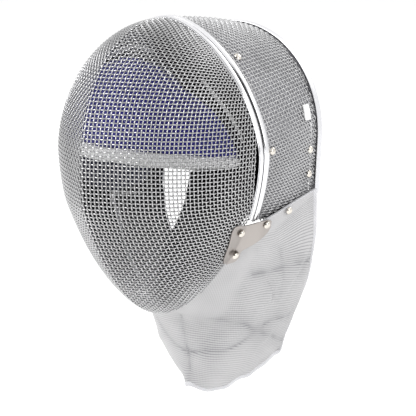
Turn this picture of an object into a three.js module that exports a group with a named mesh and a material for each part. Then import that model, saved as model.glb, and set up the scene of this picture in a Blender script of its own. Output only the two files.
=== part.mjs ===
// A fencing mask with a hanging bib, held as a head holds it.
// Millimetres, +Z up. The face looks along -Y and +X is the wearer's left.
// The origin is where the crown of the head sits, on the middle plane, above the ears.
import * as THREE from 'three';

// ---- driving dimensions ----
const HALF_WIDTH = 93.1;          // of the face basket, at its widest
const RIM_TOP = 13.5;              // height of the basket's rim above the crown seat
const WIDEST_Z = -91.4;
const CHIN_Z = -235.8;
const CENTRE_Z = -89;             // the rim, band and trim are laid out by angle about this height
const CROWN_POWER = 1.71;         // roundness of the rim above and below its widest level
const JAW_POWER = 1.59;

const RIM_LEAN = 0.066;           // the rim leans forward with height by this much per mm
const LEAN_Z = -115;
const JAW_TURN_Z = -144.5;        // below this the rim curves forward to the chin
const JAW_FORWARD = 21.8;
const JAW_CURVE = 1.55;

const BASKET_DEPTH = 105.7;       // rim to ridge at the deepest level
const DEEPEST_Z = -128.6;
const BROW_POWER = 2.26;          // roundness of the ridge above and below the deepest level
const MOUTH_POWER = 1.52;
const CHEEK_POWER = 1.8;          // roundness of a level section
const RIDGE_CREASE = 0.37;        // how sharply the cheeks meet at the ridge

const TRIM_HALF = 92.4;           // rear edge: half an ellipse, then straight down
const TRIM_CENTRE_Z = -86.9;
const TRIM_RISE = 91.2;
const TRIM_Y = 89.1;
const TRIM_LEAN = 0.064;

const MESH_WALL = 2;
const GAP = 0.3;                  // between pieces that touch
const BAND_WIDTH = 14;
const BAND_END = 125.4;           // degrees from the crown
const TRIM_END = 116;
const REAR_MESH_END = 127;
const BIB_WALL = 2;

const SIDES = [{ name: 'left', sign: 1 }, { name: 'right', sign: -1 }];

// ---- helpers ----
const radians = THREE.MathUtils.degToRad;
const lerp = THREE.MathUtils.lerp;
const smoothstep = THREE.MathUtils.smoothstep;
const clamp = THREE.MathUtils.clamp;
const vec = (x, y, z) => new THREE.Vector3(x, y, z);
const roundOff = (t, power) => Math.max(0, 1 - clamp(t, 0, 1) ** power) ** (1 / power);
const range = (count) => Array.from({ length: count + 1 }, (_, i) => i / count);

const group = new THREE.Group();

function add(name, geometry, finish) {
  const material = new THREE.MeshStandardMaterial(finish);
  const mesh = new THREE.Mesh(geometry, material);
  mesh.name = name;
  group.add(mesh);
  return mesh;
}

// a closed solid from vertices and triangles, turned so that its faces point out
function solid(points, faces) {
  const volume = faces.reduce((sum, [a, b, c]) => {
    const cross = points[b].clone().cross(points[c]);
    return sum + points[a].dot(cross);
  }, 0);
  const outward = volume > 0 ? faces : faces.map(([a, b, c]) => [a, c, b]);
  const geometry = new THREE.BufferGeometry();
  geometry.setAttribute('position', new THREE.Float32BufferAttribute(points.flatMap((p) => p.toArray()), 3));
  geometry.setIndex(outward.flat());
  return geometry;
}

// the unit normals of a grid of points, averaged over the four quads round each point
function gridNormals(grid, wrap) {
  const rows = grid.length;
  const cols = grid[0].length;
  const column = (j) => (wrap ? (j + cols) % cols : clamp(j, 0, cols - 1));
  const at = (i, j) => grid[clamp(i, 0, rows - 1)][column(j)];
  return grid.map((row, i) => row.map((_, j) => {
    const down = at(i + 1, j).clone().sub(at(i - 1, j));
    const across = at(i, j + 1).clone().sub(at(i, j - 1));
    return down.cross(across).normalize();
  }));
}

// A wall between two offsets of one surface. grid[row][column] is the surface; offsets run along its
// normal, which the sign of facing turns outward. wrap joins the last column to the first, and pole
// makes the first row one point. thinning(i, j) may scale the wall's thickness from place to place, and
// keep(point) may hold a point on its own side of a plane.
function wall(grid, outer, inner, options = {}) {
  const { wrap = false, pole = false, facing = 1, thinning = () => 1, keep = (point) => point } = options;
  const normals = gridNormals(grid, wrap);
  const rows = grid.length;
  const cols = grid[0].length;
  if (pole) {
    const mean = normals[1].reduce((sum, n) => sum.add(n), vec(0, 0, 0)).normalize();
    normals[0].forEach((n) => n.copy(mean));
  }
  const points = [];
  const skin = (offset) => grid.map((row, i) => row.map((p, j) => {
    if (pole && i === 0 && j > 0) return points.length - 1;
    points.push(keep(p.clone().addScaledVector(normals[i][j], facing * offset(i, j))));
    return points.length - 1;
  }));
  const front = skin(() => outer);
  const back = skin((i, j) => outer + (inner - outer) * thinning(i, j));
  const faces = [];
  const quad = (a, b, c, d) => {
    if (a !== b) faces.push([a, b, c]);
    faces.push([a, c, d]);
  };
  const last = wrap ? cols : cols - 1;
  for (let i = 0; i < rows - 1; i += 1) {
    for (let j = 0; j < last; j += 1) {
      const k = (j + 1) % cols;
      quad(front[i][j], front[i][k], front[i + 1][k], front[i + 1][j]);
      quad(back[i][k], back[i][j], back[i + 1][j], back[i + 1][k]);
    }
  }
  for (let j = 0; j < last; j += 1) {
    const k = (j + 1) % cols;
    quad(front[rows - 1][j], front[rows - 1][k], back[rows - 1][k], back[rows - 1][j]);
    if (!pole) quad(front[0][k], front[0][j], back[0][j], back[0][k]);
  }
  if (!wrap) {
    for (let i = 0; i < rows - 1; i += 1) {
      quad(front[i][0], front[i + 1][0], back[i + 1][0], back[i][0]);
      quad(front[i + 1][cols - 1], front[i][cols - 1], back[i][cols - 1], back[i + 1][cols - 1]);
    }
  }
  return solid(points, faces);
}

// a flat outline swept through stations, each { origin, out, along }; the outline's x runs along out
// and its y along along
function sweep(stations, outline) {
  const ring = outline.length;
  const points = stations.flatMap(({ origin, out, along }) => outline.map(([a, b]) => (
    origin.clone().addScaledVector(out, a).addScaledVector(along, b))));
  const faces = [];
  for (let i = 0; i < stations.length - 1; i += 1) {
    for (let j = 0; j < ring; j += 1) {
      const k = (j + 1) % ring;
      const [a, b, c, d] = [i * ring + j, i * ring + k, (i + 1) * ring + k, (i + 1) * ring + j];
      faces.push([a, b, c], [a, c, d]);
    }
  }
  const cap = THREE.ShapeUtils.triangulateShape(outline.map(([a, b]) => new THREE.Vector2(a, b)), []);
  const turned = THREE.ShapeUtils.isClockWise(outline.map(([a, b]) => new THREE.Vector2(a, b)));
  const end = (stations.length - 1) * ring;
  cap.forEach(([a, b, c]) => {
    faces.push(turned ? [a, b, c] : [a, c, b]);
    faces.push(turned ? [end + a, end + c, end + b] : [end + a, end + b, end + c]);
  });
  return solid(points, orient(faces, points, ring));
}

// makes the caps of a swept solid turn the same way as its first side face
function orient(faces, points, ring) {
  const edges = new Set();
  const sides = faces.filter(([a, b, c]) => Math.floor(a / ring) !== Math.floor(b / ring)
    || Math.floor(b / ring) !== Math.floor(c / ring));
  sides.forEach(([a, b, c]) => [[a, b], [b, c], [c, a]].forEach(([p, q]) => edges.add(`${p},${q}`)));
  return faces.map((face) => {
    const [a, b, c] = face;
    const clash = [[a, b], [b, c], [c, a]].some(([p, q]) => edges.has(`${p},${q}`));
    return !sides.includes(face) && clash ? [a, c, b] : face;
  });
}

// ---- the basket's rim and surface ----
function halfWidth(z) {
  const above = z > WIDEST_Z;
  const reach = above ? RIM_TOP - WIDEST_Z : WIDEST_Z - CHIN_Z;
  return HALF_WIDTH * roundOff(Math.abs(z - WIDEST_Z) / reach, above ? CROWN_POWER : JAW_POWER);
}

function rimY(z) {
  const turn = clamp((JAW_TURN_Z - z) / (JAW_TURN_Z - CHIN_Z), 0, 1);
  return -JAW_FORWARD * turn ** JAW_CURVE - RIM_LEAN * (z - LEAN_Z);
}

function basketDepth(z) {
  const above = z > DEEPEST_Z;
  const reach = above ? RIM_TOP - DEEPEST_Z : DEEPEST_Z - CHIN_Z;
  return BASKET_DEPTH * roundOff(Math.abs(z - DEEPEST_Z) / reach, above ? BROW_POWER : MOUTH_POWER);
}

function basketY(x, z) {
  const width = halfWidth(z);
  const u = width > 0 ? Math.min(Math.abs(x) / width, 1) : 1;
  return rimY(z) - basketDepth(z) * (roundOff(u, CHEEK_POWER) - RIDGE_CREASE * u * (1 - u) ** 2);
}

function trimHalf(z) {
  if (z < TRIM_CENTRE_Z) return TRIM_HALF;
  const up = Math.min((z - TRIM_CENTRE_Z) / TRIM_RISE, 1);
  return TRIM_HALF * Math.sqrt(1 - up ** 2);
}

const trimY = (z) => TRIM_Y + TRIM_LEAN * (z - TRIM_CENTRE_Z - TRIM_RISE);

// the distance from the layout centre to an outline, given as its half width by height
function outlineRadius(half, angle) {
  const [side, up] = [Math.abs(Math.sin(radians(angle))), Math.cos(radians(angle))];
  let [low, high] = [30, 260];
  for (let step = 0; step < 40; step += 1) {
    const middle = (low + high) / 2;
    if (middle * side < half(CENTRE_Z + middle * up)) low = middle;
    else high = middle;
  }
  return low;
}

const polar = (angle, radius, y) => (
  vec(radius * Math.sin(radians(angle)), y, CENTRE_Z + radius * Math.cos(radians(angle))));

function rimPoint(angle) {
  const point = polar(angle, outlineRadius(halfWidth, angle), 0);
  point.y = rimY(point.z);
  return point;
}

function trimPoint(angle) {
  const point = polar(angle, outlineRadius(trimHalf, angle), 0);
  point.y = trimY(point.z);
  return point;
}

// the crown and sides, from the rim (share 0) to the rear trim (share 1); level under the band
const BAND_SHARE = 0.19;
const CROWN_BULGE = 1.5;
function rearPoint(angle, share, inset = 0) {
  const [front, rear] = [rimPoint(angle), trimPoint(angle)];
  const slope = Math.max(0, (share - BAND_SHARE) / (1 - BAND_SHARE));
  const radius = lerp(Math.hypot(front.x, front.z - CENTRE_Z), Math.hypot(rear.x, rear.z - CENTRE_Z), slope);
  return polar(angle, radius + 4 * CROWN_BULGE * slope * (1 - slope) - inset, lerp(front.y, rear.y, share));
}

// outward normal of a curve laid out by angle, in the plane across the face
function outwardAt(pointAt, angle) {
  const tangent = pointAt(angle + 0.5).sub(pointAt(angle - 0.5));
  return vec(-tangent.z, 0, tangent.x).normalize().multiplyScalar(tangent.x * Math.cos(radians(angle))
    - tangent.z * Math.sin(radians(angle)) > 0 ? 1 : -1);
}

const angles = (end, steps) => range(steps).map((t) => lerp(-end, end, t));

// ---- face basket ----
const BASKET_COLUMNS = 18;
const BASKET_RINGS = 12;
const SKIRT = { under: 6, jaw: 1, from: 121, to: 128 };   // how far the basket runs back past its rim

// two halves that meet at the ridge
function buildFrontMesh() {
  SIDES.forEach(({ name, sign }) => {
    const columns = range(BASKET_COLUMNS).map((t) => sign * t * 180);
    const rims = columns.map(rimPoint);
    const rings = range(BASKET_RINGS).map((ring) => rims.map((rim) => {
      const reach = Math.sin(ring * Math.PI / 2);
      const [x, z] = [rim.x * reach, lerp(CENTRE_Z, rim.z, reach)];
      return ring === 1 ? rim.clone() : vec(x, basketY(x, z), z);
    }));
    const skirt = rims.map((rim, j) => {
      const under = 1 - smoothstep(Math.abs(columns[j]), SKIRT.from, SKIRT.to);
      return rim.clone().add(vec(0, lerp(SKIRT.jaw, SKIRT.under, under), 0));
    });
    const keep = (point) => point.setX(sign * Math.max(sign * point.x, GAP / 2));
    const geometry = wall([...rings, skirt], 0, -MESH_WALL, { pole: true, facing: -sign, keep });
    add(`front_mesh_${name}`, geometry, { color: 0xb4b5b8, roughness: 0.3, metalness: 0.95 });
  });
}

// ---- crown and sides ----
const REAR_MESH_FROM = 0.087;
const REAR_MESH_TO = 0.945;

function buildRearMesh() {
  const shares = [REAR_MESH_FROM, BAND_SHARE, 0.4, 0.6, 0.8, REAR_MESH_TO];
  const grid = shares.map((share) => angles(REAR_MESH_END, 36).map((angle) => rearPoint(angle, share)));
  const geometry = wall(grid, 0, -MESH_WALL, { facing: -1 });
  add('rear_mesh', geometry, { color: 0xb4b5b8, roughness: 0.3, metalness: 0.95 });
}

// the band from ear to ear: [height above the mesh, distance back from the rim]
const BAND_OUTLINE = [
  [GAP, 0], [1, 0], [1.2, 1.2], [2.2, 2.4], [2.2, 4.4], [1.1, 5.6], [1.1, 8.4],
  [2.2, 9.6], [2.2, 11.6], [1.2, 12.8], [1, BAND_WIDTH], [GAP, BAND_WIDTH],
];

function buildSideBand() {
  const stations = angles(BAND_END, 38).map((angle) => (
    { origin: rimPoint(angle), out: outwardAt(rimPoint, angle), along: vec(0, 1, 0) }));
  add('side_band', sweep(stations, BAND_OUTLINE), { color: 0xd9dadd, roughness: 0.12, metalness: 1 });
}

// the channel over the crown's rear edge: it opens forward and holds the mesh between its lips
const TRIM_OUTLINE = [
  [2.4, -4.6], [2.4, 1.6], [1.6, 2.4], [-3.6, 2.4], [-4.4, 1.6], [-4.4, -4.6],
  [-3, -4.6], [-3, -0.6], [0.8, -0.6], [0.8, -4.6],
];

function buildRearTrim() {
  const stations = angles(TRIM_END, 34).map((angle) => (
    { origin: trimPoint(angle), out: outwardAt(trimPoint, angle), along: vec(0, 1, 0) }));
  add('rear_trim', sweep(stations, TRIM_OUTLINE), { color: 0xc4c5c8, roughness: 0.35, metalness: 0.8 });
}

// ---- bib ----
// Its upper edge lies inside the basket's jaw and outside the crown mesh, behind the ears.
const JAW_INSET = 4.6;
const JAW_TUCK = 1;
const TURN_BACK = 10;

function jawEdge(angle) {
  const rim = rimPoint(angle);
  return rim.addScaledVector(outwardAt(rimPoint, angle), -JAW_INSET).add(vec(0, -JAW_TUCK, 0));
}

const behind = (angle, rise) => jawEdge(angle).add(vec(0, TURN_BACK, rise));

// lines down the bib from the chin round to the rear edge, on the wearer's left
const BIB_LINES = [
  { name: 'chin', top: jawEdge(180), turn: behind(180, -0.6), waist: [0, 8, -243], low: [0, 13, -276], hem: [0, 20, -311] },
  { name: 'jaw', top: jawEdge(166), turn: behind(166, -0.4), waist: [33, 12, -240], low: [28, 20, -280], hem: [13, 36, -320] },
  { name: 'cheek', top: jawEdge(147), turn: behind(147, -0.4), waist: [59, 25, -228], low: [46, 36, -274], hem: [26, 48, -314] },
  { name: 'ear', top: [70.5, 5, -161], turn: [72, 12, -170], waist: [71, 38, -216], low: [56, 50, -265], hem: [38, 60, -306] },
  { name: 'corner', top: [80.5, 10, -153], turn: [81, 16, -165], waist: [78, 44, -206], low: [63, 60, -256], hem: [47, 71, -295] },
  { name: 'side', top: [90, 32, -142.6], turn: [89.5, 34, -160], waist: [85, 56, -196], low: [70, 70, -246], hem: [55, 79, -284] },
  { name: 'back', top: [93.6, 56, -134.8], turn: [93.7, 56, -151], waist: [89.6, 69.5, -186], low: [79, 79, -228], hem: [64, 84, -264] },
  { name: 'edge', top: [97.4, 74, -129], turn: [96.4, 76, -146], waist: [92.4, 80, -176], low: [84, 85, -207], hem: [72, 85, -238] },
];
const BIB_ROWS = ['top', 'turn', 'waist', 'low', 'hem'];

// soft creases: each runs from one place to another, as shares round and down the bib
const BIB_FOLDS = [
  { around: [0.2, 0.85], down: [0.35, 0.95], depth: -2.6, width: 0.1 },
  { around: [0.95, 0.4], down: [0.35, 0.85], depth: 2.2, width: 0.12 },
  { around: [0.1, 0.55], down: [0.75, 0.5], depth: 2.0, width: 0.09 },
  { around: [-0.25, -0.8], down: [0.4, 0.9], depth: -2.4, width: 0.1 },
  { around: [-0.95, -0.45], down: [0.4, 0.85], depth: 2.2, width: 0.12 },
];
const NECK_Y = 60;

function foldDepth(around, down) {
  return BIB_FOLDS.reduce((sum, fold) => {
    const run = [fold.around[1] - fold.around[0], fold.down[1] - fold.down[0]];
    const from = [around - fold.around[0], down - fold.down[0]];
    const share = clamp((from[0] * run[0] + from[1] * run[1]) / (run[0] ** 2 + run[1] ** 2), 0, 1);
    const away = Math.hypot(from[0] - share * run[0], from[1] - share * run[1]);
    return sum + fold.depth * Math.exp(-((away / fold.width) ** 2));
  }, 0) * smoothstep(down, 0.25, 0.5);
}

function bibGrid(columns, downs) {
  const halves = BIB_ROWS.map((row) => {
    const left = BIB_LINES.map((line) => (Array.isArray(line[row]) ? vec(...line[row]) : line[row].clone()));
    const right = left.slice(1).reverse().map((p) => vec(-p.x, p.y, p.z));
    return new THREE.CatmullRomCurve3([...right, ...left], false, 'centripetal');
  });
  const lines = columns.map((u) => new THREE.CatmullRomCurve3(halves.map((curve) => curve.getPoint(u)),
    false, 'centripetal'));
  return downs.map((down) => columns.map((u, j) => {
    const point = lines[j].getPoint(down);
    const out = vec(point.x, point.y - NECK_Y, 0).normalize();
    return point.addScaledVector(out, foldDepth(2 * u - 1, down));
  }));
}

function buildBib() {
  const outer = bibGrid(range(42), range(12));
  const lining = bibGrid(range(28), range(7).map((t) => lerp(0.46, 0.9, t)));
  add('bib', wall(outer, 0, -BIB_WALL, { facing: 1 }), { color: 0xb9bac2, roughness: 0.5, metalness: 0.35 });
  const inside = -BIB_WALL - 2 * GAP;
  add('bib_lining', wall(lining, inside, inside - 1.2, { facing: 1 }), { color: 0x17171c, roughness: 0.9 });
}

// ---- inside: crown lining, forehead pad and ear pads ----
const LINING = { end: 70, inset: 6, thick: 2, shares: [0.14, 0.4, 0.68, 0.93] };

function buildCrownLining() {
  const grid = LINING.shares.map((share) => (
    angles(LINING.end, 22).map((angle) => rearPoint(angle, share, LINING.inset))));
  add('crown_lining', wall(grid, 0, -LINING.thick, { facing: -1 }), { color: 0x9a9ba6, roughness: 0.9 });
}

// the pad hangs between two arcs, each an ellipse about the middle plane: angle 0 is the brow's middle
const UPPER_ARC = { half: 80.5, y: -1.1, forward: 38, z: -107.6, rise: 100 };
const LOWER_ARC = { half: 77.4, y: 5.5, forward: 86.3, z: -99.4, rise: 10.2 };
const PAD_END = 76;
const PAD_THICK = 10;

function arcPoint(arc, angle) {
  const [s, c] = [Math.sin(radians(angle)), Math.cos(radians(angle))];
  return vec(arc.half * s, arc.y - arc.forward * c, arc.z + arc.rise * c);
}

function padPoint(angle, share) {
  const point = arcPoint(UPPER_ARC, angle).lerp(arcPoint(LOWER_ARC, angle), share);
  const swell = 4 * share * (1 - share) * Math.cos(radians(angle));
  return point.add(vec(0, -11 * swell, 10 * swell));
}

function roundTube(pointAt, end, steps, halfHigh, halfThick) {
  const outline = range(8).slice(0, -1).map((t) => (
    [halfThick * Math.cos(2 * Math.PI * t), halfHigh * Math.sin(2 * Math.PI * t)]));
  const stations = angles(end, steps).map((angle) => {
    const tangent = pointAt(angle + 0.5).sub(pointAt(angle - 0.5)).normalize();
    const out = vec(0, 0, CENTRE_Z).sub(pointAt(angle)).setZ(0).normalize().negate();
    const along = tangent.clone().cross(out).normalize();
    return { origin: pointAt(angle), out: along.clone().cross(tangent), along };
  });
  return sweep(stations, outline);
}

function buildForeheadPad() {
  const shares = range(7).map((t) => lerp(0.1, 0.81, t));
  const columns = angles(PAD_END, 22);
  const grid = shares.map((share) => columns.map((angle) => padPoint(angle, share)));
  const edge = (t) => Math.sqrt(Math.max(0, 1 - (2 * t - 1) ** 6));
  const thinning = (i, j) => 0.2 + 0.8 * edge(i / (shares.length - 1)) * edge(j / (columns.length - 1));
  const geometry = wall(grid, 0, -PAD_THICK, { facing: 1, thinning });
  add('forehead_pad', geometry, { color: 0x2a3a9a, roughness: 0.9 });
  add('forehead_binding', roundTube((a) => arcPoint(LOWER_ARC, a), PAD_END, 22, 4, 2),
    { color: 0xc9cad2, roughness: 0.8 });
  add('forehead_piping', roundTube((a) => arcPoint(UPPER_ARC, a), PAD_END, 22, 1.5, 1.5),
    { color: 0xc9cad2, roughness: 0.8 });
}

// the ear pads: an egg outline on each side, [distance back, height] about its middle
const EAR = { y: 9, z: -106, half: 64, high: 34, tilt: -12, clear: 5, thick: 6 };

function sideX(y, z) {
  const rim = rimY(z);
  if (y >= rim) return lerp(halfWidth(z), trimHalf(z), clamp((y - rim) / (trimY(z) - rim), 0, 1));
  let [low, high] = [0.2 * halfWidth(z), halfWidth(z)];
  for (let step = 0; step < 30; step += 1) {
    const middle = (low + high) / 2;
    if (basketY(middle, z) < y) low = middle;
    else high = middle;
  }
  return low;
}

function buildEarPads() {
  const rings = range(5);
  const turns = range(24).slice(0, -1);
  const tilt = radians(EAR.tilt);
  SIDES.forEach(({ name, sign }) => {
    const grid = rings.map((ring) => turns.map((turn) => {
      const [a, b] = [EAR.half * ring * Math.cos(turn * 2 * Math.PI), EAR.high * ring * Math.sin(turn * 2 * Math.PI)];
      const y = EAR.y + a * Math.cos(tilt) - b * Math.sin(tilt);
      const z = EAR.z + a * Math.sin(tilt) + b * Math.cos(tilt);
      return vec(sign * (sideX(y, z) - EAR.clear), y, z);
    }));
    const thinning = (i) => 0.3 + 0.7 * Math.sqrt(1 - (i / (rings.length - 1)) ** 4);
    const geometry = wall(grid, 0, -EAR.thick, { wrap: true, pole: true, facing: sign, thinning });
    add(`ear_pad_${name}`, geometry, { color: 0x1c2148, roughness: 0.9 });
  });
}

// ---- side plates, over the band's foot and along the jaw ----
// each row is a cross-cut of the plate: its outer and inner corner, [distance back, height]
const PLATE_CUTS = [
  { outer: [20.7, -146], inner: [22.5, -156] },
  { outer: [11, -147.4], inner: [17.9, -161.1] },
  { outer: [2.4, -150], inner: [10.3, -168.1] },
  { outer: [-12.6, -149.6], inner: [4.8, -173.6] },
  { outer: [-11, -168], inner: [4.6, -180] },
  { outer: [-9.3, -182], inner: [0.9, -186.1] },
];
const PLATE_THICK = 1.2;
const PLATE_CLEAR = { front: 0.7, rear: 7 };

function plateX(y, z) {
  const back = smoothstep(y, rimY(z) - 2, rimY(z) + 13);
  return sideX(y, z) + lerp(PLATE_CLEAR.front, PLATE_CLEAR.rear, back);
}

function buildSidePlates() {
  const steps = range(3);
  const rows = PLATE_CUTS.slice(1).flatMap((cut, i) => steps.slice(i ? 1 : 0).map((t) => ({
    outer: PLATE_CUTS[i].outer.map((v, k) => lerp(v, cut.outer[k], t)),
    inner: PLATE_CUTS[i].inner.map((v, k) => lerp(v, cut.inner[k], t)),
  })));
  SIDES.forEach(({ name, sign }) => {
    const grid = rows.map(({ outer, inner }) => range(4).map((t) => {
      const [y, z] = [lerp(outer[0], inner[0], t), lerp(outer[1], inner[1], t)];
      return vec(sign * plateX(y, z), y, z);
    }));
    const geometry = wall(grid, 0, PLATE_THICK, { facing: sign });
    add(`side_plate_${name}`, geometry, { color: 0xa8a29a, roughness: 0.35, metalness: 0.9 });
  });
}

// ---- rivets ----
const RIVET = { radius: 3.3, rise: 2.1 };
const DOME = [[0, 0], [1, 0], [0.95, 0.45], [0.6, 0.88], [0, 1]];

// on the crown mesh, placed by angle and share; on the bib's upper edge and plates, by [back, height]
const MESH_RIVETS = [
  { name: 'rivet_crown', angle: 38.5, share: 0.238 },
  { name: 'rivet_temple', angle: 90.3, share: 0.215 },
  { name: 'rivet_rear_upper', angle: 93.8, share: 0.832 },
  { name: 'rivet_rear_lower', angle: 106.2, share: 0.842 },
];
const SIDE_RIVETS = [
  { name: 'rivet_bib', at: [41.2, -141.4], lift: 6.9 },
  { name: 'rivet_plate_rear', at: [17.2, -148.6], lift: 8.6 },
  { name: 'rivet_plate_middle', at: [-3.2, -155.4], lift: 3.1 },
  { name: 'rivet_plate_jaw', at: [0.2, -175.2], lift: 4.4 },
];

function rivetGeometry(scale = 1) {
  const profile = DOME.map(([r, h]) => new THREE.Vector2(r * RIVET.radius * scale, h * RIVET.rise * scale));
  return new THREE.LatheGeometry(profile, 10);
}

function placeRivet(name, point, normal) {
  const mesh = add(name, rivetGeometry(), { color: 0xb8b0a6, roughness: 0.25, metalness: 1 });
  mesh.position.copy(point);
  mesh.quaternion.setFromUnitVectors(vec(0, 1, 0), normal.normalize());
}

function buildRivets() {
  SIDES.forEach(({ name, sign }) => {
    MESH_RIVETS.forEach((rivet) => {
      const at = (da, ds) => rearPoint(sign * (rivet.angle + da), rivet.share + ds);
      const normal = at(1, 0).sub(at(-1, 0)).cross(at(0, 0.02).sub(at(0, -0.02))).multiplyScalar(sign);
      placeRivet(`${rivet.name}_${name}`, at(0, 0).addScaledVector(normal.normalize(), 2 * GAP), normal);
    });
    SIDE_RIVETS.forEach((rivet) => {
      const [y, z] = rivet.at;
      const surface = (dy, dz) => vec(sideX(y + dy, z + dz), y + dy, z + dz);
      const normal = surface(2, 0).sub(surface(-2, 0)).cross(surface(0, 2).sub(surface(0, -2)));
      normal.normalize();
      const point = surface(0, 0).addScaledVector(normal, rivet.lift);
      placeRivet(`${rivet.name}_${name}`, vec(sign * point.x, point.y, point.z),
        vec(sign * normal.x, normal.y, normal.z));
    });
  });
}

// ---- a blank tag on the crown mesh, on the wearer's left ----
const TAG = { angles: [70.5, 78.5], shares: [0.76, 0.855] };

function buildTag() {
  const grid = range(2).map((s) => range(4).map((t) => (
    rearPoint(lerp(...TAG.angles, t), lerp(...TAG.shares, s)))));
  add('blank_tag', wall(grid, GAP, GAP + 0.8, { facing: -1 }), { color: 0xf2f2f2, roughness: 0.6 });
}

buildFrontMesh();
buildRearMesh();
buildSideBand();
buildRearTrim();
buildBib();
buildCrownLining();
buildForeheadPad();
buildEarPads();
buildSidePlates();
buildRivets();
buildTag();

export default group;
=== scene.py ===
"""A fencing mask with a hanging bib: woven wire basket and crown, chromed band, cloth bib and pads.

Metres, +Z up. The face looks along -Y, +X is the wearer's left, and the origin is where the
crown of the head sits. The mask is held up there, so nothing stands on the floor.
"""
import math

import bmesh
import bpy
import numpy as np
from bpy.props import FloatProperty, FloatVectorProperty, IntProperty, PointerProperty
from mathutils import Matrix, Vector
from mathutils.bvhtree import BVHTree


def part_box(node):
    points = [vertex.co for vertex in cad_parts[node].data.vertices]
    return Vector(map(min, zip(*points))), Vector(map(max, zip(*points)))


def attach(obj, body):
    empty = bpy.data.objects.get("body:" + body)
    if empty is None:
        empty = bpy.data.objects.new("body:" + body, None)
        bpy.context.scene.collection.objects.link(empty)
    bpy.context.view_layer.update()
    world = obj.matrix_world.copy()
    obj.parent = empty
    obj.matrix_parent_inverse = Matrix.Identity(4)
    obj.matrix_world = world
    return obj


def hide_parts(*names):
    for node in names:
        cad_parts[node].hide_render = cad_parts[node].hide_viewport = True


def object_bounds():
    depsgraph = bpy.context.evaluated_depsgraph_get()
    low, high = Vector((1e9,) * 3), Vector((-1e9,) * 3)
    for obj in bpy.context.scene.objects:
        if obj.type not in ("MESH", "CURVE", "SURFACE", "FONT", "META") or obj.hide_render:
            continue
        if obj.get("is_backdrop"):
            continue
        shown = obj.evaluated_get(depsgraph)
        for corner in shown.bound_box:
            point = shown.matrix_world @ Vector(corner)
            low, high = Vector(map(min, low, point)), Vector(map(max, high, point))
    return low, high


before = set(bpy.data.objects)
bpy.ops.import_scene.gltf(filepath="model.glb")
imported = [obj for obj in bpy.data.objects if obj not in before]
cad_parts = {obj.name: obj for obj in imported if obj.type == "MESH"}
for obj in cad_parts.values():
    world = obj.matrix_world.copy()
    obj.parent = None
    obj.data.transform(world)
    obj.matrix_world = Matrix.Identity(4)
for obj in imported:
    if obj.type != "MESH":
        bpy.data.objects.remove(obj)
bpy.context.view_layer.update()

bl_info = {
    "name": "Fencing mask",
    "version": (1, 0, 0),
    "blender": (4, 5, 0),
    "location": "3D View > Sidebar > Mask",
    "description": "Builds a woven wire fencing mask with its bib, piece by piece",
    "category": "Add Mesh",
}

MM = 0.001
BODY = "root"

# ---- the basket's outline, read from the frame where it shows it ----
BASKET_LOW, BASKET_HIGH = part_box("front_mesh_left")
HALF_WIDTH = 93.1 * MM
RIM_TOP = BASKET_HIGH.z
CHIN_Z = BASKET_LOW.z
WIDEST_Z = -91.4 * MM
CENTRE_Z = -89 * MM
CROWN_POWER = 1.71
JAW_POWER = 1.59
RIM_LEAN = 0.066
LEAN_Z = -115 * MM
JAW_TURN_Z = -144.5 * MM
JAW_FORWARD = 21.8 * MM
JAW_CURVE = 1.55
BASKET_DEPTH = 105.7 * MM
DEEPEST_Z = -128.6 * MM
BROW_POWER = 2.26
MOUTH_POWER = 1.52
CHEEK_POWER = 1.8
RIDGE_CREASE = 0.37
RIDGE_ROUNDING = 0.035

# ---- the rear edge: half an ellipse, then straight down ----
TRIM_HALF = 92.4 * MM
TRIM_CENTRE_Z = -86.9 * MM
TRIM_RISE = 91.2 * MM
TRIM_Y = 89.1 * MM
TRIM_LEAN = 0.064
BAND_SHARE = 0.19
CROWN_BULGE = 1.5 * MM

BAND_END = 125.4
TRIM_END = 116
REAR_MESH_END = 127
SIDES = (("left", 1), ("right", -1))


def unit(value):
    """A share held between 0 and 1."""
    return min(max(value, 0.0), 1.0)


def blend(low, high, share):
    return low + (high - low) * share


def ease(value, low, high):
    """Rises smoothly from 0 to 1 as value goes from low to high."""
    t = unit((value - low) / (high - low))
    return t * t * (3 - 2 * t)


def round_off(t, power):
    return max(0.0, 1 - unit(t) ** power) ** (1 / power)


def half_width(z):
    above = z > WIDEST_Z
    reach = RIM_TOP - WIDEST_Z if above else WIDEST_Z - CHIN_Z
    return HALF_WIDTH * round_off(abs(z - WIDEST_Z) / reach, CROWN_POWER if above else JAW_POWER)


def rim_y(z):
    turn = unit((JAW_TURN_Z - z) / (JAW_TURN_Z - CHIN_Z))
    return -JAW_FORWARD * turn**JAW_CURVE - RIM_LEAN * (z - LEAN_Z)


def basket_depth(z):
    above = z > DEEPEST_Z
    reach = RIM_TOP - DEEPEST_Z if above else DEEPEST_Z - CHIN_Z
    return BASKET_DEPTH * round_off(abs(z - DEEPEST_Z) / reach, BROW_POWER if above else MOUTH_POWER)


def basket_y(x, z):
    width = half_width(z)
    u = min(abs(x) / width, 1.0) if width > 0 else 1.0
    soft = math.hypot(u, RIDGE_ROUNDING) - RIDGE_ROUNDING * (1 - u)
    crease = RIDGE_CREASE * soft * (1 - min(soft, 1.0)) ** 2
    return rim_y(z) - basket_depth(z) * (round_off(u, CHEEK_POWER) - crease)


def trim_half(z):
    if z < TRIM_CENTRE_Z:
        return TRIM_HALF
    return TRIM_HALF * round_off((z - TRIM_CENTRE_Z) / TRIM_RISE, 2)


def trim_y(z):
    return TRIM_Y + TRIM_LEAN * (z - TRIM_CENTRE_Z - TRIM_RISE)


def outline_radius(half, angle):
    """The distance from the layout centre to an outline that is given as its half width by height."""
    side, up = abs(math.sin(math.radians(angle))), math.cos(math.radians(angle))
    low, high = 30 * MM, 260 * MM
    for _ in range(40):
        middle = (low + high) / 2
        if middle * side < half(CENTRE_Z + middle * up):
            low = middle
        else:
            high = middle
    return low


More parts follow.
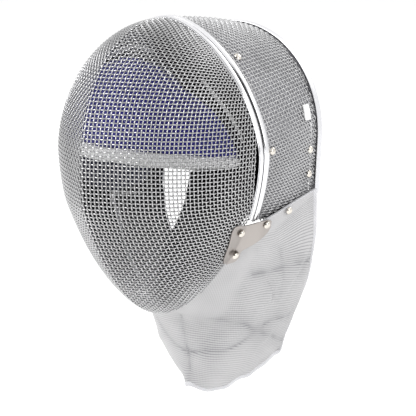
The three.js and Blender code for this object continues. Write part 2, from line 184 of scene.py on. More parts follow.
DEGREES = np.arange(0, 181.0)
RIM_RADII = [outline_radius(half_width, angle) for angle in DEGREES]
TRIM_RADII = [outline_radius(trim_half, angle) for angle in DEGREES]


def polar(angle, radius, y):
    turn = math.radians(angle)
    return Vector((radius * math.sin(turn), y, CENTRE_Z + radius * math.cos(turn)))


def rim_point(angle):
    point = polar(angle, float(np.interp(abs(angle), DEGREES, RIM_RADII)), 0)
    point.y = rim_y(point.z)
    return point


def trim_point(angle):
    point = polar(angle, float(np.interp(abs(angle), DEGREES, TRIM_RADII)), 0)
    point.y = trim_y(point.z)
    return point


def rear_point(angle, share, inset=0.0):
    """A place on the crown and sides, from the rim (share 0) to the rear trim (share 1)."""
    front, rear = rim_point(angle), trim_point(angle)
    slope = max(0.0, (share - BAND_SHARE) / (1 - BAND_SHARE))
    reach = [math.hypot(p.x, p.z - CENTRE_Z) for p in (front, rear)]
    radius = blend(*reach, slope) + 4 * CROWN_BULGE * slope * (1 - slope) - inset
    return polar(angle, radius, blend(front.y, rear.y, share))


def outward_at(point_at, angle):
    """The outward normal of a curve laid out by angle, in the plane across the face."""
    step = point_at(angle + 0.5) - point_at(angle - 0.5)
    return Vector((-step.z, 0, step.x)).normalized() * (1 if step.dot(polar(angle + 90, 1, 0) - Vector(
        (0, 0, CENTRE_Z))) > 0 else -1)


def side_x(y, z):
    """The half width of the basket or the sides at a place seen from the side."""
    rim = rim_y(z)
    if y >= rim:
        return blend(half_width(z), trim_half(z), unit((y - rim) / (trim_y(z) - rim)))
    low, high = 0.2 * half_width(z), half_width(z)
    for _ in range(30):
        middle = (low + high) / 2
        if basket_y(middle, z) < y:
            low = middle
        else:
            high = middle
    return low


# ---- materials ----
RIB_DRIFT = 1.8 * MM
POLISH_GRAIN = (1, 0.1, 1)
BRUSHED_GRAIN = (1, 1, 6)


def new_material(name):
    """A material with its node tree, its main shader and a way to add and join nodes."""
    material = bpy.data.materials.new(name)
    material.use_nodes = True
    nodes, links = material.node_tree.nodes, material.node_tree.links
    shader = nodes["Principled BSDF"]

    def node(kind, inputs=(), **settings):
        made = nodes.new(kind)
        for key, value in settings.items():
            setattr(made, key, value)
        for key, value in dict(inputs).items():
            if isinstance(value, bpy.types.NodeSocket):
                links.new(value, made.inputs[key])
            else:
                made.inputs[key].default_value = value
        return made

    return material, shader, node, links


def ramp(node, factor, low, high, start=0.0, end=1.0):
    """Colours a factor from one colour to another."""
    made = node("ShaderNodeValToRGB", {"Fac": factor})
    for stop, place, colour in zip(made.color_ramp.elements, (start, end), (low, high)):
        stop.position = place
        stop.color = (*colour, 1)
    return made.outputs["Color"]


def spread(node, factor, low, high):
    made = node("ShaderNodeMapRange", {"Value": factor, "To Min": low, "To Max": high})
    return made.outputs["Result"]


def maths(node, operation, *values):
    """The outcome of one sum or product of numbers and sockets."""
    return node("ShaderNodeMath", dict(enumerate(values)), operation=operation).outputs["Value"]


def noise(node, place, scale, detail=3.0):
    made = node("ShaderNodeTexNoise", {"Vector": place, "Scale": scale, "Detail": detail})
    return made.outputs["Fac"]


def bump(node, links, shader, height, distance, strength=1.0):
    made = node("ShaderNodeBump", {"Height": height, "Distance": distance, "Strength": strength})
    links.new(made.outputs["Normal"], shader.inputs["Normal"])


def metal(name, colour, roughness, grain=(1, 1, 1), scale=300, depth=0.00001, tone=0.88, metallic=1.0):
    """A metal with a fine grain, stretched by grain, in its tone, gloss and bump."""
    material, shader, node, links = new_material(name)
    place = node("ShaderNodeTexCoord").outputs["Object"]
    stretched = node("ShaderNodeMapping", {"Vector": place, "Scale": grain}).outputs["Vector"]
    fine = noise(node, stretched, scale)
    patches = noise(node, place, 22, 2)
    dark = [c * tone for c in colour]
    links.new(ramp(node, patches, dark, colour, 0.3, 0.7), shader.inputs["Base Color"])
    links.new(spread(node, fine, roughness * 0.75, roughness * 1.3), shader.inputs["Roughness"])
    shader.inputs["Metallic"].default_value = metallic
    bump(node, links, shader, fine, depth, 0.4)
    return material


def fabric(name, colour, shade, thread=1400, depth=0.00015, roughness=0.85, sheen=0.25, gloss=0.3):
    """A woven or brushed cloth: crossed threads, a soft mottle, and shade of its colour in the hollows."""
    material, shader, node, links = new_material(name)
    place = node("ShaderNodeTexCoord").outputs["Object"]
    mottle = noise(node, place, 60, 4)
    wave = {"Vector": place, "Scale": thread / 6.28, "Distortion": 1.5, "Detail": 1.0}
    down = node("ShaderNodeTexWave", wave, wave_type="BANDS", bands_direction="Z").outputs["Fac"]
    across = node("ShaderNodeTexWave", wave, wave_type="BANDS", bands_direction="DIAGONAL").outputs["Fac"]
    height = maths(node, "ADD", maths(node, "MULTIPLY", down, across), mottle)
    dark = [c * shade for c in colour]
    links.new(ramp(node, height, dark, colour, 0.3, 1.1), shader.inputs["Base Color"])
    shader.inputs["Roughness"].default_value = roughness
    shader.inputs["Sheen Weight"].default_value = sheen
    shader.inputs["Sheen Roughness"].default_value = 0.5
    shader.inputs["Specular IOR Level"].default_value = gloss
    bump(node, links, shader, height, depth, 0.6)
    return material


def rib_cloth(name, colour, dark, rib):
    """The bib's conductive cloth: level ribs along its own map, a faint cross grid, soft mottle, and painted
    shade along its creases from the crease attribute.
    """
    material, shader, node, links = new_material(name)
    place = node("ShaderNodeTexCoord").outputs["UV"]
    where = node("ShaderNodeTexCoord").outputs["Object"]
    split = node("ShaderNodeSeparateXYZ", {"Vector": place})
    drift = maths(node, "MULTIPLY", noise(node, where, 35), RIB_DRIFT)

    def lines(axis, pitch, low):
        """Soft lines one pitch apart across an axis of the map, from the wave's part above low."""
        moved = maths(node, "ADD", split.outputs[axis], drift)
        wave = maths(node, "SINE", maths(node, "MULTIPLY", moved, 2 * math.pi / pitch))
        kept = node("ShaderNodeMapRange", {"Value": wave, "From Min": low, "From Max": 1.0})
        return kept.outputs["Result"]

    def stored(tone):
        return node("ShaderNodeAttribute", attribute_name=tone).outputs["Fac"]

    ribs = maths(node, "MULTIPLY", lines("Y", rib, 0.1), stored("ribbed"))
    threads = maths(node, "MULTIPLY", lines("Y", rib / 3, -1), lines("X", rib / 3, -1))
    patches = noise(node, where, 18)
    uneven = maths(node, "MULTIPLY", ribs, spread(node, noise(node, where, 26, 2), 0.1, 0.62))
    # painted shade: the crease attribute darkens the cloth along its creases
    crease_shaded = maths(node, "MULTIPLY_ADD", stored("crease"), 0.55, uneven)
    gridded = maths(node, "MULTIPLY_ADD", lines("X", rib, 0.3), 0.16, crease_shaded)
    shade = maths(node, "MULTIPLY_ADD", patches, 0.4, gridded)
    links.new(ramp(node, shade, colour, dark, 0.12, 0.8), shader.inputs["Base Color"])
    links.new(spread(node, patches, 0.42, 0.6), shader.inputs["Roughness"])
    shader.inputs["Metallic"].default_value = 0.25
    shader.inputs["Sheen Weight"].default_value = 0.15
    height = maths(node, "MULTIPLY_ADD", threads, 0.35, ribs)
    bump(node, links, shader, maths(node, "MULTIPLY", height, -1.0), 0.0003, 0.5)
    return material


# ---- making pieces and putting them on the body ----
def formed_grid(columns, rows, place, chart=lambda u, v: (u, v), tones=()):
    """A grid whose corners are put by place(u, v); its map holds what chart(u, v) says, and each of
    the named tones a number by (u, v)."""
    shape = bmesh.new()
    layer = shape.loops.layers.uv.new("UVMap")
    for name, _ in tones:
        shape.verts.layers.float.new(name)
    bmesh.ops.create_grid(shape, x_segments=columns, y_segments=rows, size=0.5)
    shares = {corner: (corner.co.x + 0.5, corner.co.y + 0.5) for corner in shape.verts}
    charted = {corner: chart(*share) for corner, share in shares.items()}
    for face in shape.faces:
        for loop in face.loops:
            loop[layer].uv = charted[loop.vert]
    for corner, (u, v) in shares.items():
        corner.co = place(u, v)
        for values, tone in tones:
            corner[shape.verts.layers.float[values]] = tone(u, v)
    return shape


def add_piece(name, shape, materials, smooth_to=None):
    """Makes a piece of a bmesh, gives its mesh the materials and places it on the body."""
    mesh = bpy.data.meshes.new(name)
    shape.to_mesh(mesh)
    shape.free()
    mesh.shade_smooth()
    if smooth_to:
        mesh.set_sharp_from_angle(angle=math.radians(smooth_to))
    piece = bpy.data.objects.new(name, mesh)
    bpy.context.scene.collection.objects.link(piece)
    for material in materials:
        mesh.materials.append(material)
    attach(piece, BODY)
    return piece


def add_modifier(piece, kind, **settings):
    made = piece.modifiers.new(kind.title(), kind)
    for key, value in settings.items():
        setattr(made, key, value)
    return made


def apply_modifiers(piece):
    """Makes the piece's mesh what its modifiers show, and drops them."""
    graph = bpy.context.evaluated_depsgraph_get()
    graph.update()
    made = bpy.data.meshes.new_from_object(piece.evaluated_get(graph), depsgraph=graph)
    piece.modifiers.clear()
    piece.data = made


def swept(columns, sections, station):
    """A closed outline carried along stations: station(u) gives its origin and two directions."""
    count = len(sections)

    def place(u, v):
        origin, out, along = station(u)
        a, b = sections[round(v * count) % count]
        return origin + out * a + along * b

    shape = formed_grid(columns, count, place)
    bmesh.ops.remove_doubles(shape, verts=shape.verts, dist=0.02 * MM)
    rims = [edge for edge in shape.edges if edge.is_boundary]
    bmesh.ops.holes_fill(shape, edges=rims, sides=0)
    bmesh.ops.recalc_face_normals(shape, faces=shape.faces)
    return shape


# ---- woven wire ----
def walk(points, pitch):
    """Places along a fine polyline, each one pitch from the last in a straight line."""
    found = [points[0]]
    for before, after in zip(points, points[1:]):
        while (after - found[-1]).length >= pitch:
            low, high = 0.0, 1.0
            for _ in range(20):
                middle = (low + high) / 2
                if (before.lerp(after, middle) - found[-1]).length < pitch:
                    low = middle
                else:
                    high = middle
            found.append(before.lerp(after, high))
    return found


def next_knot(first, second, behind, pitch, surface):
    """The place on a surface one pitch from two knots, on the far side from the one behind."""
    guess = first + second - behind
    for _ in range(4):
        spot, normal, _, _ = surface.find_nearest(guess)
        flats, radii = [], []
        for knot in (first, second):
            height = (knot - spot).dot(normal)
            flats.append(knot - normal * height)
            radii.append(math.sqrt(max(pitch**2 - height**2, 0)))
        across = flats[1] - flats[0]
        gap = across.length
        if gap < 0.1 * pitch or gap > 0.999 * sum(radii):
            return None
        along = (gap**2 + radii[0] ** 2 - radii[1] ** 2) / (2 * gap)
        rise = math.sqrt(max(radii[0] ** 2 - along**2, 0))
        away = normal.cross(across).normalized()
        if away.dot(guess - behind) < 0:
            away.negate()
        guess = flats[0] + across.normalized() * along + away * rise
    return surface.find_nearest(guess)[0]


SKIRT = 12 * MM


def basket_surface():
    """A fine surface of the basket, run on a little past its rim, to pull the wires over."""

    def place(u, v):
        rim = rim_point(360 * u - 180)
        if v > 0.9:
            return rim + Vector((0, SKIRT * (v - 0.9) / 0.1, 0))
        reach = math.sin(math.pi / 2 * v / 0.9)
        x, z = rim.x * reach, blend(CENTRE_Z, rim.z, reach)
        return Vector((x, basket_y(x, z) if v < 0.9 else rim.y, z))

    shape = formed_grid(180, 60, place)
    bmesh.ops.remove_doubles(shape, verts=shape.verts, dist=0.01 * MM)
    bmesh.ops.recalc_face_normals(shape, faces=shape.faces)
    surface = BVHTree.FromBMesh(shape)
    shape.free()
    return surface


def basket_net(pitch, surface):
    """Knots of a net of equal cells, pulled over the basket from its ridge and one level line."""
    level = WIDEST_Z * 1.35
    steps = np.linspace(0, 1, 1200)
    run_on = [Vector((0, SKIRT * t, 0)) for t in steps[1:120]]

    def ridge(end):
        line = [Vector((0, basket_y(0, z), z)) for z in level + (end - level) * np.sin(steps * math.pi / 2)]
        return walk(line + [line[-1] + back for back in run_on], pitch)

    width = half_width(level)
    side = [Vector((x, basket_y(x, level), level)) for x in width * np.sin(steps * math.pi / 2)]
    knots = {(0, j): p for j, p in enumerate(ridge(RIM_TOP))}
    knots.update({(0, -j): p for j, p in enumerate(ridge(CHIN_Z))})
    knots.update({(i, 0): p for i, p in enumerate(walk(side + [side[-1] + back for back in run_on], pitch))})
    columns = max(i for i, _ in knots)
    for sign in (1, -1):
        rows = max(sign * j for i, j in knots if i == 0)
        for i in range(1, columns + 1):
            for j in range(1, rows + 1):
                keys = ((i - 1, sign * j), (i, sign * (j - 1)), (i - 1, sign * (j - 1)))
                near = [knots.get(key) for key in keys]
                if None in near or min(p.y - rim_y(p.z) for p in near[:2]) > SKIRT * 0.8:
                    continue
                knot = next_knot(*near, pitch, surface)
                if knot is not None:
                    knots[i, sign * j] = knot
    knots.update({(-i, j): Vector((-p.x, p.y, p.z)) for (i, j), p in list(knots.items()) if i})
    return knots


def wire_runs(line, over, wire):
    """Turns one line of knots, each a place, a normal and how far it lies past the piece's edge, into
    runs of places along a crimped wire."""
    runs, run = [], []
    for k, spot in enumerate(line):
        if spot is None:
            runs.append(run)
            run = []
            continue
        knot, normal, beyond = spot
        if beyond <= 0:
            run.append(knot + normal * (wire / 2 if (k + over) % 2 else -wire / 2))
        after = line[k + 1] if k + 1 < len(line) else None
        if after is None:
            continue
        if beyond <= 0 and after[2] <= 0:
            run.append((knot + after[0]) / 2)
        elif (beyond <= 0) != (after[2] <= 0):
            run.append(knot.lerp(after[0], beyond / (beyond - after[2])))
            if after[2] > 0:
                runs.append(run)
                run = []
    return [made for made in runs + [run] if len(made) > 1]


def wire_piece(name, runs, wire, material):
    """Draws every run as a round wire and joins them in one piece."""
    curve = bpy.data.curves.new(name + "_lines", "CURVE")
    curve.dimensions = "3D"
    curve.bevel_depth = wire / 2
    curve.bevel_resolution = 1
    curve.use_fill_caps = True
    for run in runs:
        spline = curve.splines.new("POLY")
        spline.points.add(len(run) - 1)
        spline.points.foreach_set("co", [c for p in run for c in (*p, 1)])
    drawn = bpy.data.objects.new(name + "_lines", curve)
    bpy.context.scene.collection.objects.link(drawn)
    graph = bpy.context.evaluated_depsgraph_get()
    mesh = bpy.data.meshes.new_from_object(drawn.evaluated_get(graph), depsgraph=graph)
    bpy.data.objects.remove(drawn)
    bpy.data.curves.remove(curve)
    shape = bmesh.new()
    shape.from_mesh(mesh)
    bpy.data.meshes.remove(mesh)
    return add_piece(name, shape, [material])


# ---- the face basket ----
def jaw_share(angle):
    """0 under the band, 1 along the jaw, where the wires stop at the rim."""
    return ease(abs(angle), 121, 128)


def layout_angle(point):
    return math.degrees(math.atan2(point.x, point.z - CENTRE_Z))


def basket_lines(pitch, wire, surface):
    """The basket's upright and level wires, as runs of places."""
    knots = basket_net(pitch, surface)
    spots = {}
    for key, knot in knots.items():
        near, normal, _, _ = surface.find_nearest(knot)
        stop = rim_y(knot.z) + blend(6, -0.2, jaw_share(layout_angle(knot))) * MM
        spots[key] = (knot, normal if normal.y < 0 or abs(normal.x) > 0.5 else -normal, knot.y - stop)
    wide = max(i for i, _ in knots)
    high = max(abs(j) for _, j in knots)
    upright, level = [], []
    for i in range(-wide, wide + 1):
        upright += wire_runs([spots.get((i, j)) for j in range(-high, high + 1)], i - high, wire)
    for j in range(-high, high + 1):
        level += wire_runs([spots.get((i, j)) for i in range(-wide, wide + 1)], j - wide + 1, wire)
    return upright, level


# ---- the crown and sides ----
CROWN_FROM, CROWN_TO = 0.087, 0.945
CROWN_LINING_END = 127
ARCH = np.linspace(-REAR_MESH_END - 4, REAR_MESH_END + 4, 400)


def arch_lengths():
    """How far round the arch each layout angle is, from the crown, along the sides' middle."""
    path = np.array([rear_point(angle, 0.5) for angle in ARCH])
    steps = np.linalg.norm(np.diff(path, axis=0), axis=1)
    lengths = np.concatenate(([0], np.cumsum(steps)))
    return lengths - np.interp(0, ARCH, lengths)


def crown_lines(pitch, wire, tilt, skew):
    """The crown's wires: straight over the top, and skewed back towards the ears."""
    lengths = arch_lengths()
    reach = lengths[-1] + 20 * MM
    around, shift, turned = [0.0], [0.0], []
    while around[-1] < reach:
        turn = skew * ease(around[-1], 95 * MM, 165 * MM)
        turned.append(turn)
        around.append(around[-1] + pitch * math.cos(turn))
        shift.append(shift[-1] + pitch * math.sin(turn))
    half = len(around) - 1
    rows = int(100 * MM / pitch)
    first = -rows - int(shift[-1] / pitch)
    middle = 48 * MM

    def spot(i, j):
        sign = 1 if i >= 0 else -1
        y = j * pitch + shift[abs(i)]
        length = around[abs(i)] - math.tan(tilt) * ease(around[abs(i)], 0, 120 * MM) * (y - middle)
        angle = float(np.interp(sign * length, lengths, ARCH))
        front, rear = rim_point(angle).y, trim_point(angle).y
        share = y / (rear - front)
        if not -0.1 < share < 1.1 or abs(angle) > REAR_MESH_END + 3:
            return None
        point = rear_point(angle, share)
        across = rear_point(angle + 1, share) - rear_point(angle - 1, share)
        back = rear_point(angle, share + 0.02) - rear_point(angle, share - 0.02)
        depth = rear - front
        beyond = max((CROWN_FROM - share) * depth, (share - CROWN_TO) * depth,
                     (abs(angle) - REAR_MESH_END) * 1.7 * MM)
        return point, back.cross(across).normalized(), beyond

    spots = {(i, j): spot(i, j) for i in range(-half, half + 1) for j in range(first, rows + 1)}
    arch, fore = [], []
    for j in range(first, rows + 1):
        arch += wire_runs([spots[i, j] for i in range(-half, half + 1)], j - half, wire)
    for i in range(-half, half + 1):
        fore += wire_runs([spots[i, j] for j in range(first, rows + 1)], i - rows + 1, wire)
    return arch, fore


# ---- band, trim ----
BAND_SECTION = [
    (0.3, 0), (1.2, 0), (1.5, 0.5), (1.6, 1.0), (2.1, 1.4), (2.5, 2.1), (2.6, 3.0), (2.5, 3.9), (2.1, 4.6),
    (1.1, 5.0), (0.8, 5.5), (0.8, 6.6), (1.1, 7.1), (2.0, 7.5), (2.5, 8.2), (2.6, 9.4), (2.55, 10.8),
    (2.3, 11.7), (1.6, 12.3), (1.5, 13.0), (1.2, 13.8), (0.3, 14),
]
TRIM_SECTION = [
    (2.0, -4.6), (2.4, -4.4), (2.6, -3.0), (2.75, -1.0), (2.6, 0.8), (2.1, 1.9), (1.2, 2.4), (0, 2.55),
    (-1.6, 2.5), (-3.0, 2.4), (-3.9, 2.0), (-4.4, 1.2), (-4.5, -1), (-4.4, -4.3), (-4.0, -4.6), (-3.2, -4.5),
    (-3.0, -0.6), (0.8, -0.6), (1.0, -4.5),
]


def edge_sweep(section, point_at, end, columns):
    """A section in millimetres, [out, back], carried round an edge from ear to ear."""
    stations = []
    for t in range(columns + 1):
        angle = end * (2 * t / columns - 1)
        stations.append((point_at(angle), outward_at(point_at, angle), Vector((0, 1, 0))))
    scaled = [(a * MM, b * MM) for a, b in section]
    return swept(columns, scaled, lambda u: stations[round(u * columns)])


def bead(point_at, angle, section, length):
    """A short rounded end that closes a swept band below its last station."""
    origin, out = point_at(angle), outward_at(point_at, angle)
    down = (point_at(angle + math.copysign(0.5, angle)) - origin).normalized()
    shape = bmesh.new()
    bmesh.ops.create_uvsphere(shape, u_segments=24, v_segments=12, radius=1.0)
    outs = [a for a, _ in section]
    backs = [b for _, b in section]
    wide, thick = (max(backs) - min(backs)) / 2 * MM, (max(outs) - min(outs)) / 2 * MM
    middle = origin + out * (thick + min(outs) * MM) + Vector((0, (max(backs) + min(backs)) / 2 * MM, 0))
    for corner in shape.verts:
        x, y, z = corner.co
        corner.co = middle + Vector((0, wide * x, 0)) + out * (thick * y) + down * (length * z)
    bmesh.ops.recalc_face_normals(shape, faces=shape.faces)
    return shape


def joined(shapes):
    """Puts several bmeshes in one."""
    whole = bmesh.new()
    whole.loops.layers.uv.new("UVMap")
    for shape in shapes:
        mesh = bpy.data.meshes.new("part")
        shape.to_mesh(mesh)
        shape.free()
        whole.from_mesh(mesh)
        bpy.data.meshes.remove(mesh)
    return whole


# ---- the bib ----
JAW_INSET = 4.6 * MM
BIB_ROWS = 5
BIB_LINES = [
    [None, None, (0, 8, -243), (0, 13, -276), (0, 20, -311)],
    [None, None, (33, 12, -240), (28, 20, -280), (13, 36, -320)],
    [None, None, (59, 25, -228), (46, 36, -274), (26, 48, -314)],
    [(70.5, 5, -161), (72, 12, -170), (71, 38, -216), (56, 50, -265), (38, 60, -306)],
    [(80.5, 10, -153), (81, 16, -165), (78, 44, -206), (63, 60, -256), (47, 71, -295)],
    [(90, 32, -142.6), (89.5, 34, -160), (85, 56, -196), (70, 70, -246), (55, 79, -284)],
    [(93.6, 56, -134.8), (93.7, 56, -151), (89.6, 69.5, -186), (79, 79, -228), (64, 84, -264)],
    [(97.4, 74, -129), (96.4, 76, -146), (92.4, 80, -176), (84, 85, -207), (72, 85, -238)],
]
JAW_ANGLES = (180, 166, 147)
JAW_DROPS = (-0.6, -0.4, -0.4)
NECK_Y = 60 * MM
HEAD_MIDDLE = Vector((0, 40, -150)) * MM
# how many cells each formed piece has along and across
BIB_GRID, LINING_GRID, CLOTH_GRID, PLATE_GRID = (330, 110), (120, 40), (150, 30), (64, 22)
BORDER_GRID, BROW_GRID, EAR_GRID = (96, 40), (60, 16), (40, 14)
ROLL_STATIONS, ROLL_SIDES = 90, 16
# the ear cushion: share of its outline filled, and mm from the wires to its back
EAR_REACH, EAR_BACK = 0.97, 5.6
# soft creases: [from round, from down, to round, to down, depth in mm, width]
BIB_FOLDS = [
    (0.2, 0.35, 0.85, 0.95, -2.6, 0.1), (0.95, 0.35, 0.4, 0.85, 2.2, 0.12), (0.1, 0.75, 0.55, 0.5, 2.0, 0.09),
    (-0.25, 0.4, -0.8, 0.9, -2.4, 0.1), (-0.95, 0.4, -0.45, 0.85, 2.2, 0.12),
]
FINE_FOLDS = [
    (0.30, 0.62, 0.62, 0.50, 1.5, 0.030), (0.62, 0.66, 0.95, 0.52, -1.3, 0.035),
    (0.36, 0.78, 0.75, 0.74, 1.2, 0.030), (0.50, 0.46, 0.56, 0.60, -1.6, 0.022),
    (0.12, 0.60, 0.02, 0.88, -1.4, 0.030), (0.04, 0.52, 0.24, 0.70, 1.1, 0.028),
    (-0.30, 0.58, -0.66, 0.72, 1.4, 0.032), (-0.55, 0.46, -0.95, 0.60, -1.4, 0.035),
    (-0.10, 0.66, -0.40, 0.88, 1.1, 0.03), (0.70, 0.34, 0.98, 0.30, 0.9, 0.03),
    (-0.70, 0.34, -0.98, 0.30, 0.9, 0.03), (0.22, 0.42, 0.40, 0.38, -0.8, 0.025),
]

# sharp creases: the places they run through, [round, down], how dark their painted shade is (the same number
# sets how deep they are pressed), and how wide
CREASES = [
    (((0.01, 0.5), (0.01, 0.62), (0.03, 0.75), (0.03, 0.98)), 0.42, 0.009),
    (((-0.14, 0.6), (-0.09, 0.66), (-0.04, 0.73), (0.01, 0.76)), 0.45, 0.014),
    (((0.05, 0.75), (0.12, 0.71), (0.2, 0.71), (0.31, 0.69), (0.38, 0.68)), 0.45, 0.013),
    (((0.09, 0.49), (0.19, 0.53), (0.27, 0.58), (0.38, 0.68), (0.57, 0.79), (0.79, 0.98)), 0.40, 0.015),
    (((0.38, 0.4), (0.56, 0.44), (0.73, 0.48), (1.0, 0.62)), 0.50, 0.016),
    (((0.68, 0.36), (0.65, 0.45), (0.62, 0.55), (0.6, 0.64)), 0.20, 0.02),
    (((0.45, 0.68), (0.61, 0.71), (0.77, 0.78)), 0.36, 0.014),
    (((-0.3, 0.55), (-0.45, 0.66), (-0.66, 0.7)), 0.45, 0.015),
    (((-0.4, 0.42), (-0.7, 0.5), (-1.0, 0.64)), 0.45, 0.018),
    (((-0.2, 0.8), (-0.45, 0.78), (-0.75, 0.9)), 0.36, 0.015),
]
JAW_LINE = ((0, 0.15, 0.32, 0.6, 1), (0.5, 0.5, 0.35, 0.2, 0))
PLAIN_STRIP = 0.07


def crease_shade_and_depth(u, down):
    """How dark the painted shade of a sharp crease is at a place on the bib; the same number also presses the
    crease in and bends the ribs.
    """
    around, total = 2 * u - 1, 0.0
    for line, dark, width in CREASES:
        nearest = 9.0
        for (a0, d0), (a1, d1) in zip(line, line[1:]):
            run = (a1 - a0, d1 - d0)
            share = unit(((around - a0) * run[0] + (down - d0) * run[1]) / (run[0] ** 2 + run[1] ** 2))
            nearest = min(nearest, math.hypot(around - a0 - share * run[0], down - d0 - share * run[1]))
        if nearest < 5 * width:
            broken = 0.45 + 0.3 * math.sin(31 * around + 17 * down) + 0.25 * math.sin(53 * down - 19 * around)
            sharp = math.exp(-((nearest / (0.7 * width)) ** 2)) * broken
            total += dark * (sharp + 0.35 * math.exp(-((nearest / (2.6 * width)) ** 2)))
    return min(total, 1.0)


def ribbed_tone(u, down):
    """How strong the ribs are: none in the plain strip along the jaw."""
    jaw = float(np.interp(abs(2 * u - 1), *JAW_LINE))
    return blend(0.15, 1.0, ease(down, jaw, jaw + PLAIN_STRIP))


def catmull(points, share):
    """A place along a smooth curve through points, spaced by the roots of their distances."""
    count = len(points) - 1
    place = min(share * count, count - 1e-9)
    k, t = int(place), place - int(place)
    p1, p2 = points[k], points[k + 1]
    p0 = points[k - 1] if k else p1 * 2 - p2
    p3 = points[k + 2] if k + 2 <= count else p2 * 2 - p1
    d0, d1, d2 = (max((b - a).length, 1e-7) ** 0.5 for a, b in ((p0, p1), (p1, p2), (p2, p3)))
    m1 = ((p1 - p0) / d0 - (p2 - p0) / (d0 + d1) + (p2 - p1) / d1) * d1
    m2 = ((p2 - p1) / d1 - (p3 - p1) / (d1 + d2) + (p3 - p2) / d2) * d1
    return (
        p1 * (2 * t**3 - 3 * t**2 + 1) + m1 * (t**3 - 2 * t**2 + t)
        + p2 * (3 * t**2 - 2 * t**3) + m2 * (t**3 - t**2)
    )


def jaw_edge(angle):
    return rim_point(angle) - outward_at(rim_point, angle) * JAW_INSET - Vector((0, 1 * MM, 0))


def bib_rows():
    """The bib's five curves from ear to ear, each through fifteen places."""
    rows = []
    for row in range(BIB_ROWS):
        left = []
        for k, line in enumerate(BIB_LINES):
            if line[row] is not None:
                left.append(Vector(line[row]) * MM)
            else:
                edge = jaw_edge(JAW_ANGLES[k])
                left.append(edge if row == 0 else edge + Vector((0, 10, JAW_DROPS[k])) * MM)
        rows.append([Vector((-p.x, p.y, p.z)) for p in left[:0:-1]] + left)
    return rows


def fold_depth(folds, around, down):
    total = 0.0
    for a0, d0, a1, d1, depth, width in folds:
        run = (a1 - a0, d1 - d0)
        share = unit(((around - a0) * run[0] + (down - d0) * run[1]) / (run[0] ** 2 + run[1] ** 2))
        away = math.hypot(around - a0 - share * run[0], down - d0 - share * run[1])
        fade = 0.35 + 0.65 * math.sin(math.pi * (0.08 + 0.84 * share))
        total += depth * fade * math.exp(-((away / width) ** 2))
    return total


ROWS = bib_rows()


def bib_place(u, down, offset=0.0):
    """A place on the bib's outer face: u runs from ear to ear and down from its top to its hem."""
    point = catmull([catmull(row, u) for row in ROWS], down)
    around = 2 * u - 1
    out = Vector((point.x, point.y - NECK_Y, 0)).normalized()
    depth = fold_depth(BIB_FOLDS, around, down) + 1.15 * fold_depth(FINE_FOLDS, around, down)
    depth -= 1.3 * crease_shade_and_depth(u, down)
    hem = ease(down, 0.82, 1.0) ** 2
    flutter = 1.6 * math.sin(9.5 * around + 1.3) + 1.1 * math.sin(21 * around)
    point.z += (1.3 * math.sin(24 * around - 1.2) + 0.8 * math.sin(41 * around)) * hem * MM
    return point + out * ((depth * ease(down, 0.25, 0.5) + flutter * hem) * MM + offset)


def bib_chart(u, down):
    """Where a place on the bib lies on its cloth: metres round it, and metres up it along the ribs."""
    point = catmull([catmull(row, u) for row in ROWS], down)
    rise = 0.25 * max(0.0, point.y - 30 * MM) * (1 - ease(down, 0.2, 0.75))
    waves = 1.6 * math.sin(9 * u + 9 * down) + 1.0 * math.sin(23 * u - 14 * down)
    sway = (waves - 2.5 * crease_shade_and_depth(u, down)) * MM
    return 0.55 * u, point.z - rise + sway


# ---- pads ----
UPPER_ARC = {"half": 80.5, "y": -1.1, "forward": 38, "z": -107.6, "rise": 100}
LOWER_ARC = {"half": 77.4, "y": 5.5, "forward": 86.3, "z": -99.4, "rise": 10.2}
PAD_END = 87
PAD_FLARE = 9.5
PAD_TUCK = 3
EAR = {"y": 9, "z": -121, "half": 62, "high": 24, "tilt": -12}


def arc_point(arc, angle):
    s, c = math.sin(math.radians(angle)), math.cos(math.radians(angle))
    half = arc["half"] + PAD_FLARE * ease(abs(angle), 5, 40) - PAD_TUCK * ease(abs(angle), 60, PAD_END)
    return Vector((half * s, arc["y"] - arc["forward"] * c, arc["z"] + arc["rise"] * c)) * MM


def pad_point(angle, share):
    point = arc_point(UPPER_ARC, angle).lerp(arc_point(LOWER_ARC, angle), share)
    swell = 4 * share * (1 - share) * math.cos(math.radians(angle)) * MM
    return point + Vector((0, -11 * swell, 10 * swell))


def ear_point(sign, reach, turn, inset):
    tilt = math.radians(EAR["tilt"])
    a, b = EAR["half"] * reach * math.cos(turn) * MM, EAR["high"] * reach * math.sin(turn) * MM
    y = EAR["y"] * MM + a * math.cos(tilt) - b * math.sin(tilt)
    z = EAR["z"] * MM + a * math.sin(tilt) + b * math.cos(tilt)
    return Vector((sign * (side_x(y, z) - inset), y, z))


def puff(piece, voxel, pressure, most):
    """Remeshes a closed pad, swells it as cloth under pressure, and keeps every point near."""
    add_modifier(piece, "REMESH", mode="VOXEL", voxel_size=voxel, use_smooth_shade=True)
    apply_modifiers(piece)
    count = len(piece.data.vertices)
    before = np.empty(count * 3)
    piece.data.vertices.foreach_get("co", before)
    before = before.reshape(-1, 3)
    cloth = piece.modifiers.new("Cloth", "CLOTH")
    cloth.settings.use_pressure = True
    cloth.settings.uniform_pressure_force = pressure
    cloth.settings.quality = 5
    cloth.settings.effector_weights.gravity = 0
    scene = bpy.context.scene
    for moment in range(1, 21):
        scene.frame_set(moment)
        bpy.context.view_layer.update()
    apply_modifiers(piece)
    scene.frame_set(1)
    after = np.empty(count * 3)
    piece.data.vertices.foreach_get("co", after)
    after = after.reshape(-1, 3)
    moved = after - before
    far = np.linalg.norm(moved, axis=1, keepdims=True)
    held = before + moved * np.minimum(1, most / np.maximum(far, 1e-9))
    piece.data.vertices.foreach_set("co", held.ravel())
    piece.data.update()
    piece.data.shade_smooth()


